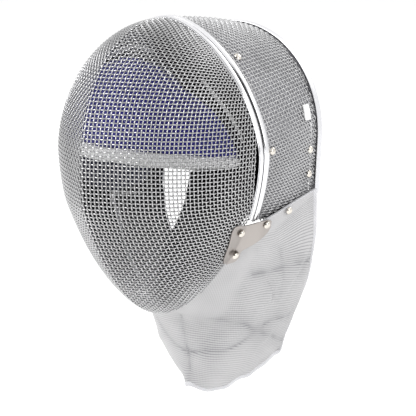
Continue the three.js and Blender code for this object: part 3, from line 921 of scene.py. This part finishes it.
def sew(piece, seams, width, depth):
    """Presses stitched lines into a pad: seams(point) gives the distance to the nearest one."""
    shape = bmesh.new()
    shape.from_mesh(piece.data)
    shape.normal_update()
    pushes = [depth * math.exp(-((seams(c.co) / width) ** 2)) for c in shape.verts]
    for corner, push in zip(shape.verts, pushes):
        corner.co -= corner.normal * push
    shape.to_mesh(piece.data)
    shape.free()


# ---- plates and rivets ----
PLATE_CUTS = [
    ((20.7, -146), (22.5, -156)), ((11, -147.4), (17.9, -161.1)), ((2.4, -150), (10.3, -168.1)),
    ((-12.6, -149.6), (4.8, -173.6)), ((-11, -168), (4.6, -180)), ((-9.3, -182), (0.9, -186.1)),
]
MESH_RIVETS = [
    ("rivet_crown", 38.5, 0.238), ("rivet_temple", 90.3, 0.215),
    ("rivet_rear_upper", 93.8, 0.832), ("rivet_rear_lower", 106.2, 0.842),
]
SIDE_RIVETS = [
    ("rivet_bib", 41.2, -141.4, 6.9), ("rivet_plate_rear", 17.2, -148.6, 8.6),
    ("rivet_plate_middle", -3.2, -155.4, 3.1), ("rivet_plate_jaw", 0.2, -175.2, 4.4),
]
# a rivet head's half profile: [share of its radius, share of its rise]
RIVET_DOME = [
    (0, 0), (0.97, 0), (1, 0.06), (0.98, 0.22), (0.9, 0.46),
    (0.74, 0.7), (0.52, 0.87), (0.27, 0.97), (0, 1),
]


def plate_x(y, z):
    back = ease(y, rim_y(z) - 2 * MM, rim_y(z) + 13 * MM)
    return side_x(y, z) + blend(0.7, 7, back) * MM


def plate_place(sign, u, v):
    """A place on a side plate: u runs along it from the rear, v from its outer to its inner edge."""
    cuts = [[Vector((0, *corner)) * MM for corner in side] for side in zip(*PLATE_CUTS)]
    outer, inner = (catmull(side, u) for side in cuts)
    spot = outer.lerp(inner, v)
    return Vector((sign * plate_x(spot.y, spot.z), spot.y, spot.z))


def rivet_seat(sign, rivet):
    """Where a rivet's foot is, and which way it points."""
    if len(rivet) == 3:
        _, angle, share = rivet
        across = rear_point(sign * (angle + 1), share) - rear_point(sign * (angle - 1), share)
        back = rear_point(sign * angle, share + 0.02) - rear_point(sign * angle, share - 0.02)
        normal = (across.cross(back) * sign).normalized()
        return rear_point(sign * angle, share) + normal * 0.6 * MM, normal
    _, y, z, lift = rivet

    def surface(dy, dz):
        back, height = (y + dy) * MM, (z + dz) * MM
        return Vector((side_x(back, height), back, height))

    normal = (surface(2, 0) - surface(-2, 0)).cross(surface(0, 2) - surface(0, -2)).normalized()
    point = surface(0, 0) + normal * lift * MM
    return Vector((sign * point.x, point.y, point.z)), Vector((sign * normal.x, normal.y, normal.z))


# the front edge of the cheek lining: [layout angle, share of the way out to the rim]
CHEEK_EDGE = [
    (0, 0.74), (20, 0.70), (30, 0.68), (45, 0.69), (60, 0.76), (75, 0.82), (88, 0.865), (95.5, 0.885),
    (96.5, 0.58), (100, 0.57), (120, 0.58), (130, 0.575), (140, 0.565), (150, 0.575),
    (160, 0.61), (170, 0.72),
]


def cheek_place(sign, u, v):
    """A place on the dark lining behind the basket's wires, from its front edge back under the band."""
    angles, edges = zip(*CHEEK_EDGE)
    angle = blend(angles[0], angles[-1], u)
    share = blend(float(np.interp(angle, angles, edges)), 1.0, unit(v / 0.8))
    rim = rim_point(angle)
    reach = math.sin(math.pi / 2 * share)
    x, z = rim.x * reach, blend(CENTRE_Z, rim.z, reach)
    point = Vector((x, basket_y(x, z) if share < 1 else rim.y, z))
    point.y += max(0.0, v - 0.8) / 0.2 * blend(13, 0, jaw_share(angle)) * MM
    inward = (Vector((0, 0, -100 * MM)) - point).normalized() * 4.2 * MM
    return Vector((sign * (point.x + inward.x), point.y + inward.y, point.z + inward.z))


def paint_section_shade(piece, first, last):
    """Gives the second material, the near-black painted shade, to the faces of a swept piece between two
    shares of its section.
    """
    marks = piece.data.uv_layers[0].data
    for face in piece.data.polygons:
        middle = sum(marks[k].uv.y for k in face.loop_indices) / len(face.loop_indices)
        if first < middle < last:
            face.material_index = 1


def pad_shell(outer, inner, columns, rows):
    """A closed pad between two surfaces, each given as a place by (u, v)."""
    shape = joined([formed_grid(columns, rows, outer), formed_grid(columns, rows, inner)])
    bmesh.ops.remove_doubles(shape, verts=shape.verts, dist=0.02 * MM)
    rims = [edge for edge in shape.edges if edge.is_boundary]
    bmesh.ops.bridge_loops(shape, edges=rims)
    bmesh.ops.recalc_face_normals(shape, faces=shape.faces)
    return shape


def rolled(arc, high, thick):
    """A cloth roll along one of the brow pad's arcs, its cross-section an ellipse."""

    def station(u):
        angle = PAD_END * (2 * u - 1)
        origin = arc_point(arc, angle)
        along = (arc_point(arc, angle + 0.5) - arc_point(arc, angle - 0.5)).normalized()
        out = Vector((origin.x, origin.y, 0)).normalized()
        across = along.cross(out).normalized()
        return origin, across.cross(along), across

    turns = np.linspace(0, 2 * math.pi, ROLL_SIDES, endpoint=False)
    section = [(thick * math.cos(t), high * math.sin(t)) for t in turns]
    return swept(ROLL_STATIONS, section, station)


def ear_front(out):
    """How far inside the wires the ear cushion's front lies: most at its middle, least at its edge."""
    return (EAR_BACK + 4.2 * (1 - out**4) ** 0.5 + 0.8) * MM


def nearest_seam(point, channels):
    return min((point - place).length for place in channels)


def cloth_grid(columns, rows, place, **charts):
    """A formed sheet whose faces all look away from the middle of the head."""
    shape = formed_grid(columns, rows, place, **charts)
    bmesh.ops.recalc_face_normals(shape, faces=shape.faces)
    facing = sum(f.normal.dot(f.calc_center_median() - HEAD_MIDDLE) * f.calc_area() for f in shape.faces)
    if facing < 0:
        bmesh.ops.reverse_faces(shape, faces=shape.faces)
    return shape


# the folded edge's outline in mm: [out of the cloth, in from its edge]
HEM_OUTLINE = [
    (0.45, -0.2), (0.6, 1.2), (0.6, 2.8), (0.2, 3.9), (-0.4, 4.2),
    (-1.8, 4.0), (-2.2, 2.6), (-2.2, 0.6), (-1.4, -0.5), (-0.4, -0.6),
]
HEM_SECTION = [(out * MM, inward * MM) for out, inward in HEM_OUTLINE]


def bib_border(across, down):
    """Stations round the bib's border: a place, the way out of the cloth, and the way in from the edge."""
    inset = 0.02
    walk_round = [(t / across, 0.0) for t in range(across)]
    walk_round += [(1.0, t / down) for t in range(down)]
    walk_round += [(1 - t / across, 1.0) for t in range(across)]
    walk_round += [(0.0, 1 - t / down) for t in range(down + 1)]
    stations = []
    for u, v in walk_round:
        origin = bib_place(u, v)
        inner = bib_place(blend(inset, 1 - inset, u), blend(inset, 1 - inset, v))
        across_u = bib_place(min(u + 0.004, 1), v) - bib_place(max(u - 0.004, 0), v)
        down_v = bib_place(u, min(v + 0.01, 1)) - bib_place(u, max(v - 0.01, 0))
        normal = across_u.cross(down_v).normalized()
        if normal.dot(origin - HEAD_MIDDLE) < 0:
            normal.negate()
        inward = inner - origin
        inward = (inward - normal * inward.dot(normal)).normalized()
        stations.append((origin, normal, inward))
    return stations


def rounded_end(u, v):
    """Draws a plate's width in towards its middle at both ends, so that its corners are round."""
    ends = 1 - 0.45 * max(0.0, 1 - 9 * u) ** 2 - 0.45 * max(0.0, 1 - 9 * (1 - u)) ** 2
    return 0.5 + (v - 0.5) * ends


# ---- settings ----
def colour(name, default, description):
    return FloatVectorProperty(
        name=name, description=description, default=default, size=3, subtype="COLOR", min=0, max=1)


def length(name, default, description, top=1.0):
    return FloatProperty(name=name, description=description, default=default, min=0, max=top, unit="LENGTH")


class WireSettings(bpy.types.PropertyGroup):
    pitch: length("Pitch", 3.3 * MM, "Distance from one wire to the next")
    wire: length("Wire", 1.16 * MM, "Thickness of the round wire")
    tilt: FloatProperty(name="Tilt", description="How far the crown's lengthwise wires rise to the rear",
                        default=math.radians(9), subtype="ANGLE")
    skew: FloatProperty(name="Skew", description="How far the crown's cross wires turn back at the ears",
                        default=math.radians(37), subtype="ANGLE")
    steel: colour("Steel", (0.52, 0.52, 0.525), "Colour of the woven wire")


class MetalSettings(bpy.types.PropertyGroup):
    band: colour("Band", (0.90, 0.90, 0.92), "Colour of the polished band")
    trim: colour("Trim", (0.72, 0.72, 0.74), "Colour of the satin rear channel")
    plate: colour("Plate", (0.41, 0.38, 0.36), "Colour of the side plates")
    rivet: colour("Rivet", (0.74, 0.70, 0.64), "Colour of the nickel rivets")
    # the near-black painted shade in the band's groove, along its front edge and on the trim's lip
    groove_shade: colour("Groove", (0.02, 0.02, 0.022), "Colour of the band's groove and the trim's lip")
    plate_thick: length("Plate thickness", 1.2 * MM, "Thickness of a side plate")
    rivet_radius: length("Rivet radius", 3.3 * MM, "Radius of a rivet's head")
    rivet_rise: length("Rivet rise", 2.1 * MM, "Height of a rivet's head")
    rivet_sides: IntProperty(name="Rivet sides", description="Faces round a rivet's head", default=24, min=8)


class BibSettings(bpy.types.PropertyGroup):
    cloth: colour("Cloth", (0.522, 0.518, 0.522), "Colour of the bib")
    # the crease colour is the dark of the cloth's ribs and the painted shade along its creases
    crease: colour("Crease", (0.20, 0.20, 0.21), "Colour in the cloth's ribs and creases")
    hem: colour("Hem", (0.60, 0.60, 0.62), "Colour of the folded edge")
    lining: colour("Lining", (0.010, 0.010, 0.013), "Colour of the dark layer inside")
    rib: length("Rib spacing", 2.1 * MM, "Distance between the cloth's level ribs")
    wall: length("Thickness", 1.6 * MM, "Thickness of the cloth")


class PadSettings(bpy.types.PropertyGroup):
    blue: colour("Forehead pad", (0.034, 0.033, 0.26), "Colour of the pad over the brow")
    navy: colour("Ear pads", (0.018, 0.020, 0.045), "Colour of the pads at the ears")
    outside: colour("Ear pads outside", (0.10, 0.10, 0.12), "Colour of the ear pads towards the wires")
    binding: colour("Binding", (0.95, 0.95, 0.95), "Colour of the pad's lower edge")
    lining: colour("Crown lining", (0.56, 0.56, 0.60), "Colour of the cloth under the crown")
    cheek: colour("Cheek lining", (0.004, 0.004, 0.005), "Colour of the lining behind the cheeks")
    inside: colour("Crown lining inside", (0.015, 0.015, 0.02), "Colour of the crown lining towards the head")
    thick: length("Pad thickness", 8.5 * MM, "Thickness of the forehead pad before it swells")
    voxel: length("Voxel", 4 * MM, "Cell size of the remeshed pads")


class StageSettings(bpy.types.PropertyGroup):
    floor: colour("Floor", (0.97, 0.97, 0.97), "Colour of the floor")
    drop: length("Drop", 60 * MM, "Distance from the hem down to the floor")
    key: FloatProperty(name="Key light", description="Power of the soft main light, in watts", default=26)
    fill: FloatProperty(name="Fill light", description="Power of the soft second light, in watts", default=9)
    sky: FloatProperty(name="Sky", description="Strength of the even light from all round", default=1.04)


def matt(name, low, high, scale, roughness):
    """A plain matt finish whose colour drifts between two near tones."""
    material, shader, node, links = new_material(name)
    drift = noise(node, node("ShaderNodeTexCoord").outputs["Object"], scale)
    links.new(ramp(node, drift, low, high), shader.inputs["Base Color"])
    shader.inputs["Roughness"].default_value = roughness
    return material


def stage_sheet(name, half, height, material):
    """A flat square that belongs to the stage and not to the mask."""
    shape = bmesh.new()
    bmesh.ops.create_grid(shape, x_segments=2, y_segments=2, size=half)
    bmesh.ops.translate(shape, vec=(0, 0, height), verts=shape.verts)
    mesh = bpy.data.meshes.new(name)
    shape.to_mesh(mesh)
    shape.free()
    mesh.materials.append(material)
    sheet = bpy.data.objects.new(name, mesh)
    bpy.context.scene.collection.objects.link(sheet)
    sheet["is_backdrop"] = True
    return sheet


# ---- camera and lights: metres, degrees and millimetres of lens ----
AIM = Vector((0, 0, -0.115))
CAMERA_TURN, CAMERA_RISE = math.radians(39.77), math.radians(12.71)
CAMERA_DISTANCE, CAMERA_RIGHT, CAMERA_UP = 1.067, 0.0308, -0.0312
LENS, SENSOR, CLIP_END = 109.2, 36, 100
FLOOR_HALF = 30
CARD_HALF, CARD_DISTANCE = 1.3, 2.4
LIGHT_AIM = Vector((0, 0, -0.12))
# [name, place, size, which setting gives its power]
LIGHTS = [
    ("key", (-0.9, -1.3, 1.3), 1.0, "key"), ("fill", (1.7, -0.5, 0.5), 1.2, "fill"),
    ("back", (0.5, 1.6, 1.2), 1.0, "fill"),
]


# ---- operators ----
class PieceOperator:
    bl_options = {"REGISTER", "UNDO"}


class MASK_OT_basket(PieceOperator, bpy.types.Operator):
    """Weaves the face basket from round wire, pulled over its ridge and cheeks"""

    bl_idname = "mask.basket"
    bl_label = "Face basket"

    def execute(self, context):
        wire = context.scene.mask_wire
        surface = basket_surface()
        families = basket_lines(wire.pitch, wire.wire, surface)
        steel = metal("Face wire", wire.steel, 0.2, scale=500, depth=0.000004, tone=0.82)
        for name, runs in zip(("face_wire_upright", "face_wire_level"), families):
            if not runs:
                raise RuntimeError(f"{name} has no wires")
            piece = wire_piece(name, runs, wire.wire, steel)
            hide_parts("front_mesh_left", "front_mesh_right")
        return {"FINISHED"}


class MASK_OT_crown(PieceOperator, bpy.types.Operator):
    """Weaves the crown and sides from the same wire, skewed back at the ears"""

    bl_idname = "mask.crown"
    bl_label = "Crown and sides"

    def execute(self, context):
        wire = context.scene.mask_wire
        families = crown_lines(wire.pitch, wire.wire, wire.tilt, wire.skew)
        steel = metal("Side wire", wire.steel, 0.3, scale=500, depth=0.000004, tone=0.82)
        for name, runs in zip(("crown_wire_arch", "crown_wire_fore"), families):
            if not runs:
                raise RuntimeError(f"{name} has no wires")
            piece = wire_piece(name, runs, wire.wire, steel)
            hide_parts("rear_mesh")
        return {"FINISHED"}


class MASK_OT_band(PieceOperator, bpy.types.Operator):
    """Sweeps the ribbed band from ear to ear over the join"""

    bl_idname = "mask.band"
    bl_label = "Ear to ear band"

    def execute(self, context):
        metals = context.scene.mask_metal
        finish = metal("Polished band", metals.band, 0.16, POLISH_GRAIN, scale=200, depth=0.000003, tone=0.9)
        groove_shade = metal("Band groove", metals.groove_shade, 0.3, POLISH_GRAIN, 200, 0.000003, tone=0.8, metallic=0.6)
        shapes = [edge_sweep(BAND_SECTION, rim_point, BAND_END - 0.6, 160)]
        for sign in (1, -1):
            for rib in (BAND_SECTION[1:9], BAND_SECTION[13:20]):
                shapes.append(bead(rim_point, sign * (BAND_END - 0.6), rib, 1.2 * MM))
        piece = add_piece("band_ribbed", joined(shapes), [finish, groove_shade], 50)
        # painted shade: the valley between the ribs and a thin line along the band's front edge get the
        # near-black material
        paint_section_shade(piece, 9.1 / 22, 12.4 / 22)
        paint_section_shade(piece, 2.1 / 22, 2.9 / 22)
        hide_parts("side_band")
        return {"FINISHED"}


class MASK_OT_trim(PieceOperator, bpy.types.Operator):
    """Sweeps the rounded channel that holds the crown mesh along its rear edge"""

    bl_idname = "mask.trim"
    bl_label = "Rear trim"

    def execute(self, context):
        metals = context.scene.mask_metal
        finish = metal("Satin trim", metals.trim, 0.36, scale=180, depth=0.000006, tone=0.95, metallic=0.7)
        groove_shade = metal("Trim lip shade", metals.groove_shade, 0.4, scale=180, depth=0.000006, tone=0.9, metallic=0.6)
        shape = edge_sweep(TRIM_SECTION, trim_point, TRIM_END, 140)
        piece = add_piece("trim_channel", shape, [finish, groove_shade], 50)
        # painted shade: the lip where the trim meets the mesh gets the near-black material
        paint_section_shade(piece, 18 / 19, 1)
        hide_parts("rear_trim")
        return {"FINISHED"}


class MASK_OT_bib(PieceOperator, bpy.types.Operator):
    """Hangs the bib from the jaw with its creases, folded edge and dark lining"""

    bl_idname = "mask.bib"
    bl_label = "Bib"

    def execute(self, context):
        bib = context.scene.mask_bib
        cloth = rib_cloth("Bib cloth", bib.cloth, bib.crease, bib.rib)
        # the crease tone carries the painted shade along the creases; the ribbed tone, how strong the ribs
        # are
        tones = (("crease", crease_shade_and_depth), ("ribbed", ribbed_tone))
        shape = cloth_grid(*BIB_GRID, bib_place, chart=bib_chart, tones=tones)
        dark = fabric("Bib lining", bib.lining, 0.5, 1800, 0.00008, roughness=0.9, sheen=0.05, gloss=0.1)
        piece = add_piece("bib_cloth", shape, [cloth, dark])
        add_modifier(piece, "SOLIDIFY", thickness=bib.wall, offset=-1.0, material_offset=1)
        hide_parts("bib")

        border = bib_border(*BORDER_GRID)
        edge = swept(len(border) - 1, HEM_SECTION, lambda u: border[round(u * (len(border) - 1))])
        hem = fabric("Bib edge", bib.hem, 0.7, 1500, 0.0001, roughness=0.7, sheen=0.3)
        strip = add_piece("bib_edge", edge, [hem])
        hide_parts("bib")

        def lining_place(u, v):
            side = abs(2 * u - 1)
            top = blend(0.46, 0.06, ease(side, 0.6, 0.92))
            return bib_place(u, blend(top, 0.9, v), -(3.0 + 18 * ease(side, 0.86, 1.0) ** 2) * MM)

        inner = cloth_grid(*LINING_GRID, lining_place)
        lining = add_piece("bib_dark_lining", inner, [dark])
        add_modifier(lining, "SOLIDIFY", thickness=1.0 * MM, offset=-1.0)
        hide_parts("bib_lining")
        return {"FINISHED"}


class MASK_OT_lining(PieceOperator, bpy.types.Operator):
    """Lines the crown with a soft cloth, held just inside the wires"""

    bl_idname = "mask.lining"
    bl_label = "Crown lining"

    def execute(self, context):
        pads = context.scene.mask_pads

        def crown_place(u, v):
            angle = CROWN_LINING_END * (2 * u - 1)
            ripple = 0.3 * math.sin(13 * u * math.pi) * math.sin(math.pi * v)
            turned_in = 17 * max(0.0, v - 0.82) / 0.18 * ease(abs(angle), 62, 90)
            return rear_point(angle, blend(0.14, 0.93, unit(v / 0.82)), (3.4 + ripple + turned_in) * MM)

        shape = cloth_grid(*CLOTH_GRID, crown_place)
        cloth = fabric("Pale lining", pads.lining, 0.6, 1300, 0.0001)
        dark = fabric(
            "Pale lining inside", pads.inside, 0.5, 1300, 0.0001, roughness=1.0, sheen=0.0, gloss=0.05
        )
        piece = add_piece("crown_cloth", shape, [cloth, dark])
        add_modifier(piece, "SOLIDIFY", thickness=1.6 * MM, offset=-1.0, material_offset=1)
        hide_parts("crown_lining")

        black = fabric("Cheek lining", pads.cheek, 0.5, 1500, 0.0001, roughness=1.0, sheen=0.0, gloss=0.05)
        for side, sign in SIDES:
            shape = cloth_grid(*CLOTH_GRID, lambda u, v: cheek_place(sign, u, v))
            piece = add_piece(f"cheek_lining_{side}", shape, [black])
            add_modifier(piece, "SOLIDIFY", thickness=1.0 * MM, offset=-1.0)
        return {"FINISHED"}


class MASK_OT_pads(PieceOperator, bpy.types.Operator):
    """Pads the brow and ears, each swollen as cloth over foam; the brow pad is then sewn"""

    bl_idname = "mask.pads"
    bl_label = "Pads"

    def execute(self, context):
        pads = context.scene.mask_pads
        blue = fabric("Brow cloth", pads.blue, 0.55, 1500, 0.00012, roughness=0.9, sheen=0.3, gloss=0.2)
        navy = fabric("Ear cloth", pads.navy, 0.55, 1500, 0.00012, roughness=0.9, sheen=0.1, gloss=0.1)
        pale = fabric("Binding", pads.binding, 0.8, 1600, 0.0001, roughness=0.75, sheen=0.3)
        outer_cloth = fabric("Ear cloth outside", pads.outside, 0.6, 1500, 0.00012)
        centre = Vector((0, 35, -100)) * MM

        def brow(depth):
            def place(u, v):
                angle, share = (2 * u - 1) * PAD_END, blend(0.10, 0.97, v)
                point = pad_point(angle, share)
                along = pad_point(angle + 1, share) - pad_point(angle - 1, share)
                outward = pad_point(angle, share + 0.02) - pad_point(angle, share - 0.02)
                normal = along.cross(outward).normalized()
                if normal.dot(centre - point) < 0:
                    normal.negate()
                return point + normal * depth
            return place

        shell = pad_shell(brow(0.8 * MM), brow(pads.thick), *BROW_GRID)
        piece = add_piece("brow_pad", shell, [blue])
        puff(piece, pads.voxel, 4.0, 1.2 * MM)
        channels = [Vector(pad_point(a, s)) for a in (-38, -13, 13, 38) for s in np.linspace(0.14, 0.78, 40)]
        add_modifier(piece, "SUBSURF", levels=1, render_levels=1)
        apply_modifiers(piece)
        sew(piece, lambda p: nearest_seam(p, channels), 2.2 * MM, 2.0 * MM)
        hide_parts("forehead_pad")

        for name, arc, high, thick, node in (
            ("brow_binding", LOWER_ARC, 5.6, 3.4, "forehead_binding"),
            ("brow_piping", UPPER_ARC, 1.7, 1.7, "forehead_piping"),
        ):
            roll = add_piece(name, rolled(arc, high * MM, thick * MM), [pale])
            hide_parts(node)

        for side, sign in SIDES:
            shell = pad_shell(
                lambda u, v: ear_point(sign, EAR_REACH * v, 2 * math.pi * u, EAR_BACK * MM),
                lambda u, v: ear_point(sign, EAR_REACH * v, 2 * math.pi * u, ear_front(v)),
                *EAR_GRID,
            )
            piece = add_piece(f"ear_cushion_{side}", shell, [navy, outer_cloth])
            puff(piece, 3 * MM, 4.0, 0.8 * MM)
            add_modifier(piece, "SUBSURF", levels=1, render_levels=1)
            apply_modifiers(piece)
            for face in piece.data.polygons:
                face.material_index = 1 if face.normal.x * sign > 0.1 else 0
            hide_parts(f"ear_pad_{side}")
        return {"FINISHED"}


class MASK_OT_plates(PieceOperator, bpy.types.Operator):
    """Forms the side plates over the band's feet and along the jaw"""

    bl_idname = "mask.plates"
    bl_label = "Side plates"

    def execute(self, context):
        metals = context.scene.mask_metal
        satin = metal("Satin plate", metals.plate, 0.34, BRUSHED_GRAIN, scale=160, depth=0.000008, tone=0.86)
        for side, sign in SIDES:
            shape = formed_grid(*PLATE_GRID, lambda u, v: plate_place(sign, u, rounded_end(u, v)))
            bmesh.ops.recalc_face_normals(shape, faces=shape.faces)
            if sum((f.normal.x * f.calc_area() for f in shape.faces)) * sign < 0:
                bmesh.ops.reverse_faces(shape, faces=shape.faces)
            piece = add_piece(f"plate_{side}", shape, [satin], 40)
            add_modifier(piece, "SOLIDIFY", thickness=metals.plate_thick, offset=1.0)
            add_modifier(piece, "BEVEL", width=0.3 * MM, segments=2, limit_method="ANGLE")
            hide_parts(f"side_plate_{side}")
        return {"FINISHED"}


class MASK_OT_rivets(PieceOperator, bpy.types.Operator):
    """Turns a domed nickel head for every rivet"""

    bl_idname = "mask.rivets"
    bl_label = "Rivets"

    def execute(self, context):
        metals = context.scene.mask_metal
        nickel = metal("Nickel rivet", metals.rivet, 0.09, scale=400, depth=0.000005, tone=0.85)
        for side, sign in SIDES:
            for rivet in MESH_RIVETS + SIDE_RIVETS:
                foot, normal = rivet_seat(sign, rivet)
                shape = bmesh.new()
                radius, rise = metals.rivet_radius, metals.rivet_rise
                corners = [shape.verts.new((r * radius, 0, h * rise)) for r, h in RIVET_DOME]
                edges = [shape.edges.new(pair) for pair in zip(corners, corners[1:])]
                bmesh.ops.spin(shape, geom=corners + edges, cent=(0, 0, 0), axis=(0, 0, 1),
                               angle=2 * math.pi, steps=metals.rivet_sides, use_merge=True)
                bmesh.ops.remove_doubles(shape, verts=shape.verts, dist=0.01 * MM)
                bmesh.ops.recalc_face_normals(shape, faces=shape.faces)
                turn = Vector((0, 0, 1)).rotation_difference(normal).to_matrix().to_4x4()
                bmesh.ops.transform(shape, matrix=Matrix.Translation(foot) @ turn, verts=shape.verts)
                name = f"{rivet[0].replace('rivet', 'nickel')}_{side}"
                piece = add_piece(name, shape, [nickel], 60)
                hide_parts(f"{rivet[0]}_{side}")
        return {"FINISHED"}


class MASK_OT_tag(PieceOperator, bpy.types.Operator):
    """Finishes the small bare tag on the crown"""

    bl_idname = "mask.tag"
    bl_label = "Blank tag"

    def execute(self, context):
        material, shader, node, links = new_material("Blank tag")
        place = node("ShaderNodeTexCoord").outputs["Object"]
        fine = noise(node, place, 90)
        paleness = ramp(node, fine, (0.62, 0.62, 0.62), (0.80, 0.80, 0.80), 0.35, 0.65)
        links.new(paleness, shader.inputs["Base Color"])
        shader.inputs["Roughness"].default_value = 0.35
        bump(node, links, shader, fine, 0.00004)
        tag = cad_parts["blank_tag"]
        tag.data.materials.clear()
        tag.data.materials.append(material)
        return {"FINISHED"}


class MASK_OT_stage(PieceOperator, bpy.types.Operator):
    """Sets out the floor, the soft lights and the camera"""

    bl_idname = "mask.stage"
    bl_label = "Stage"

    def execute(self, context):
        stage = context.scene.mask_stage
        scene = context.scene
        pale = list(stage.floor)
        finish = matt("Floor", [c * 0.985 for c in pale], pale, 0.8, roughness=0.9)
        stage_sheet("floor", FLOOR_HALF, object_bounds()[0][2] - stage.drop, finish)

        world = bpy.data.worlds.new("Studio")
        world.use_nodes = True
        world.node_tree.nodes["Background"].inputs["Color"].default_value = (1, 1, 1, 1)
        world.node_tree.nodes["Background"].inputs["Strength"].default_value = stage.sky
        scene.world = world
        scene.view_settings.view_transform = "Standard"
        powers = {"key": stage.key, "fill": stage.fill}
        for name, place, size, power in LIGHTS:
            data = bpy.data.lights.new(name, "AREA")
            data.energy, data.size = powers[power], size
            light = bpy.data.objects.new(name, data)
            light.location = place
            light.rotation_euler = (LIGHT_AIM - Vector(place)).to_track_quat("-Z", "Y").to_euler()
            scene.collection.objects.link(light)

        right = Vector((math.cos(CAMERA_TURN), math.sin(CAMERA_TURN), 0))
        level = Vector((math.sin(CAMERA_TURN), -math.cos(CAMERA_TURN), 0))
        back = level * math.cos(CAMERA_RISE) + Vector((0, 0, math.sin(CAMERA_RISE)))
        up = back.cross(right)
        facing = Matrix((right, up, back)).transposed().to_4x4()
        black = matt("Dark card", (0.02, 0.02, 0.02), (0.03, 0.03, 0.03), 4, roughness=1.0)
        card = stage_sheet("card", CARD_HALF, 0, black)
        card.matrix_world = Matrix.Translation(AIM + back * CARD_DISTANCE) @ facing
        card.visible_camera = card.visible_diffuse = card.visible_shadow = False

        data = bpy.data.cameras.new("camera")
        data.sensor_width, data.lens = SENSOR, LENS
        data.clip_end = CLIP_END
        camera = bpy.data.objects.new("camera", data)
        place = AIM + back * CAMERA_DISTANCE + right * CAMERA_RIGHT + up * CAMERA_UP
        camera.matrix_world = Matrix.Translation(place) @ facing
        scene.collection.objects.link(camera)
        scene.camera = camera
        return {"FINISHED"}


class MASK_PT_panel(bpy.types.Panel):
    """Lists the mask's pieces"""

    bl_idname = "MASK_PT_panel"
    bl_label = "Fencing mask"
    bl_space_type = "VIEW_3D"
    bl_region_type = "UI"
    bl_category = "Mask"

    def draw(self, context):
        for name in GROUPS:
            box = self.layout.box()
            settings = getattr(context.scene, name)
            for key in settings.__annotations__:
                box.prop(settings, key)
        for operator in OPERATORS:
            self.layout.operator(operator.bl_idname)


OPERATORS = (
    MASK_OT_basket, MASK_OT_crown, MASK_OT_band, MASK_OT_trim, MASK_OT_bib, MASK_OT_lining, MASK_OT_pads,
    MASK_OT_plates, MASK_OT_rivets, MASK_OT_tag, MASK_OT_stage,
)
GROUPS = {
    "mask_wire": WireSettings, "mask_metal": MetalSettings, "mask_bib": BibSettings,
    "mask_pads": PadSettings, "mask_stage": StageSettings,
}


def register():
    for kind in (*GROUPS.values(), *OPERATORS, MASK_PT_panel):
        bpy.utils.register_class(kind)
    for name, kind in GROUPS.items():
        setattr(bpy.types.Scene, name, PointerProperty(type=kind))


def unregister():
    for name in GROUPS:
        delattr(bpy.types.Scene, name)
    for kind in reversed((*GROUPS.values(), *OPERATORS, MASK_PT_panel)):
        bpy.utils.unregister_class(kind)


def main():
    register()
    for operator in OPERATORS:
        group, name = operator.bl_idname.split(".")
        getattr(getattr(bpy.ops, group), name)()


if __name__ == "__main__":
    main()
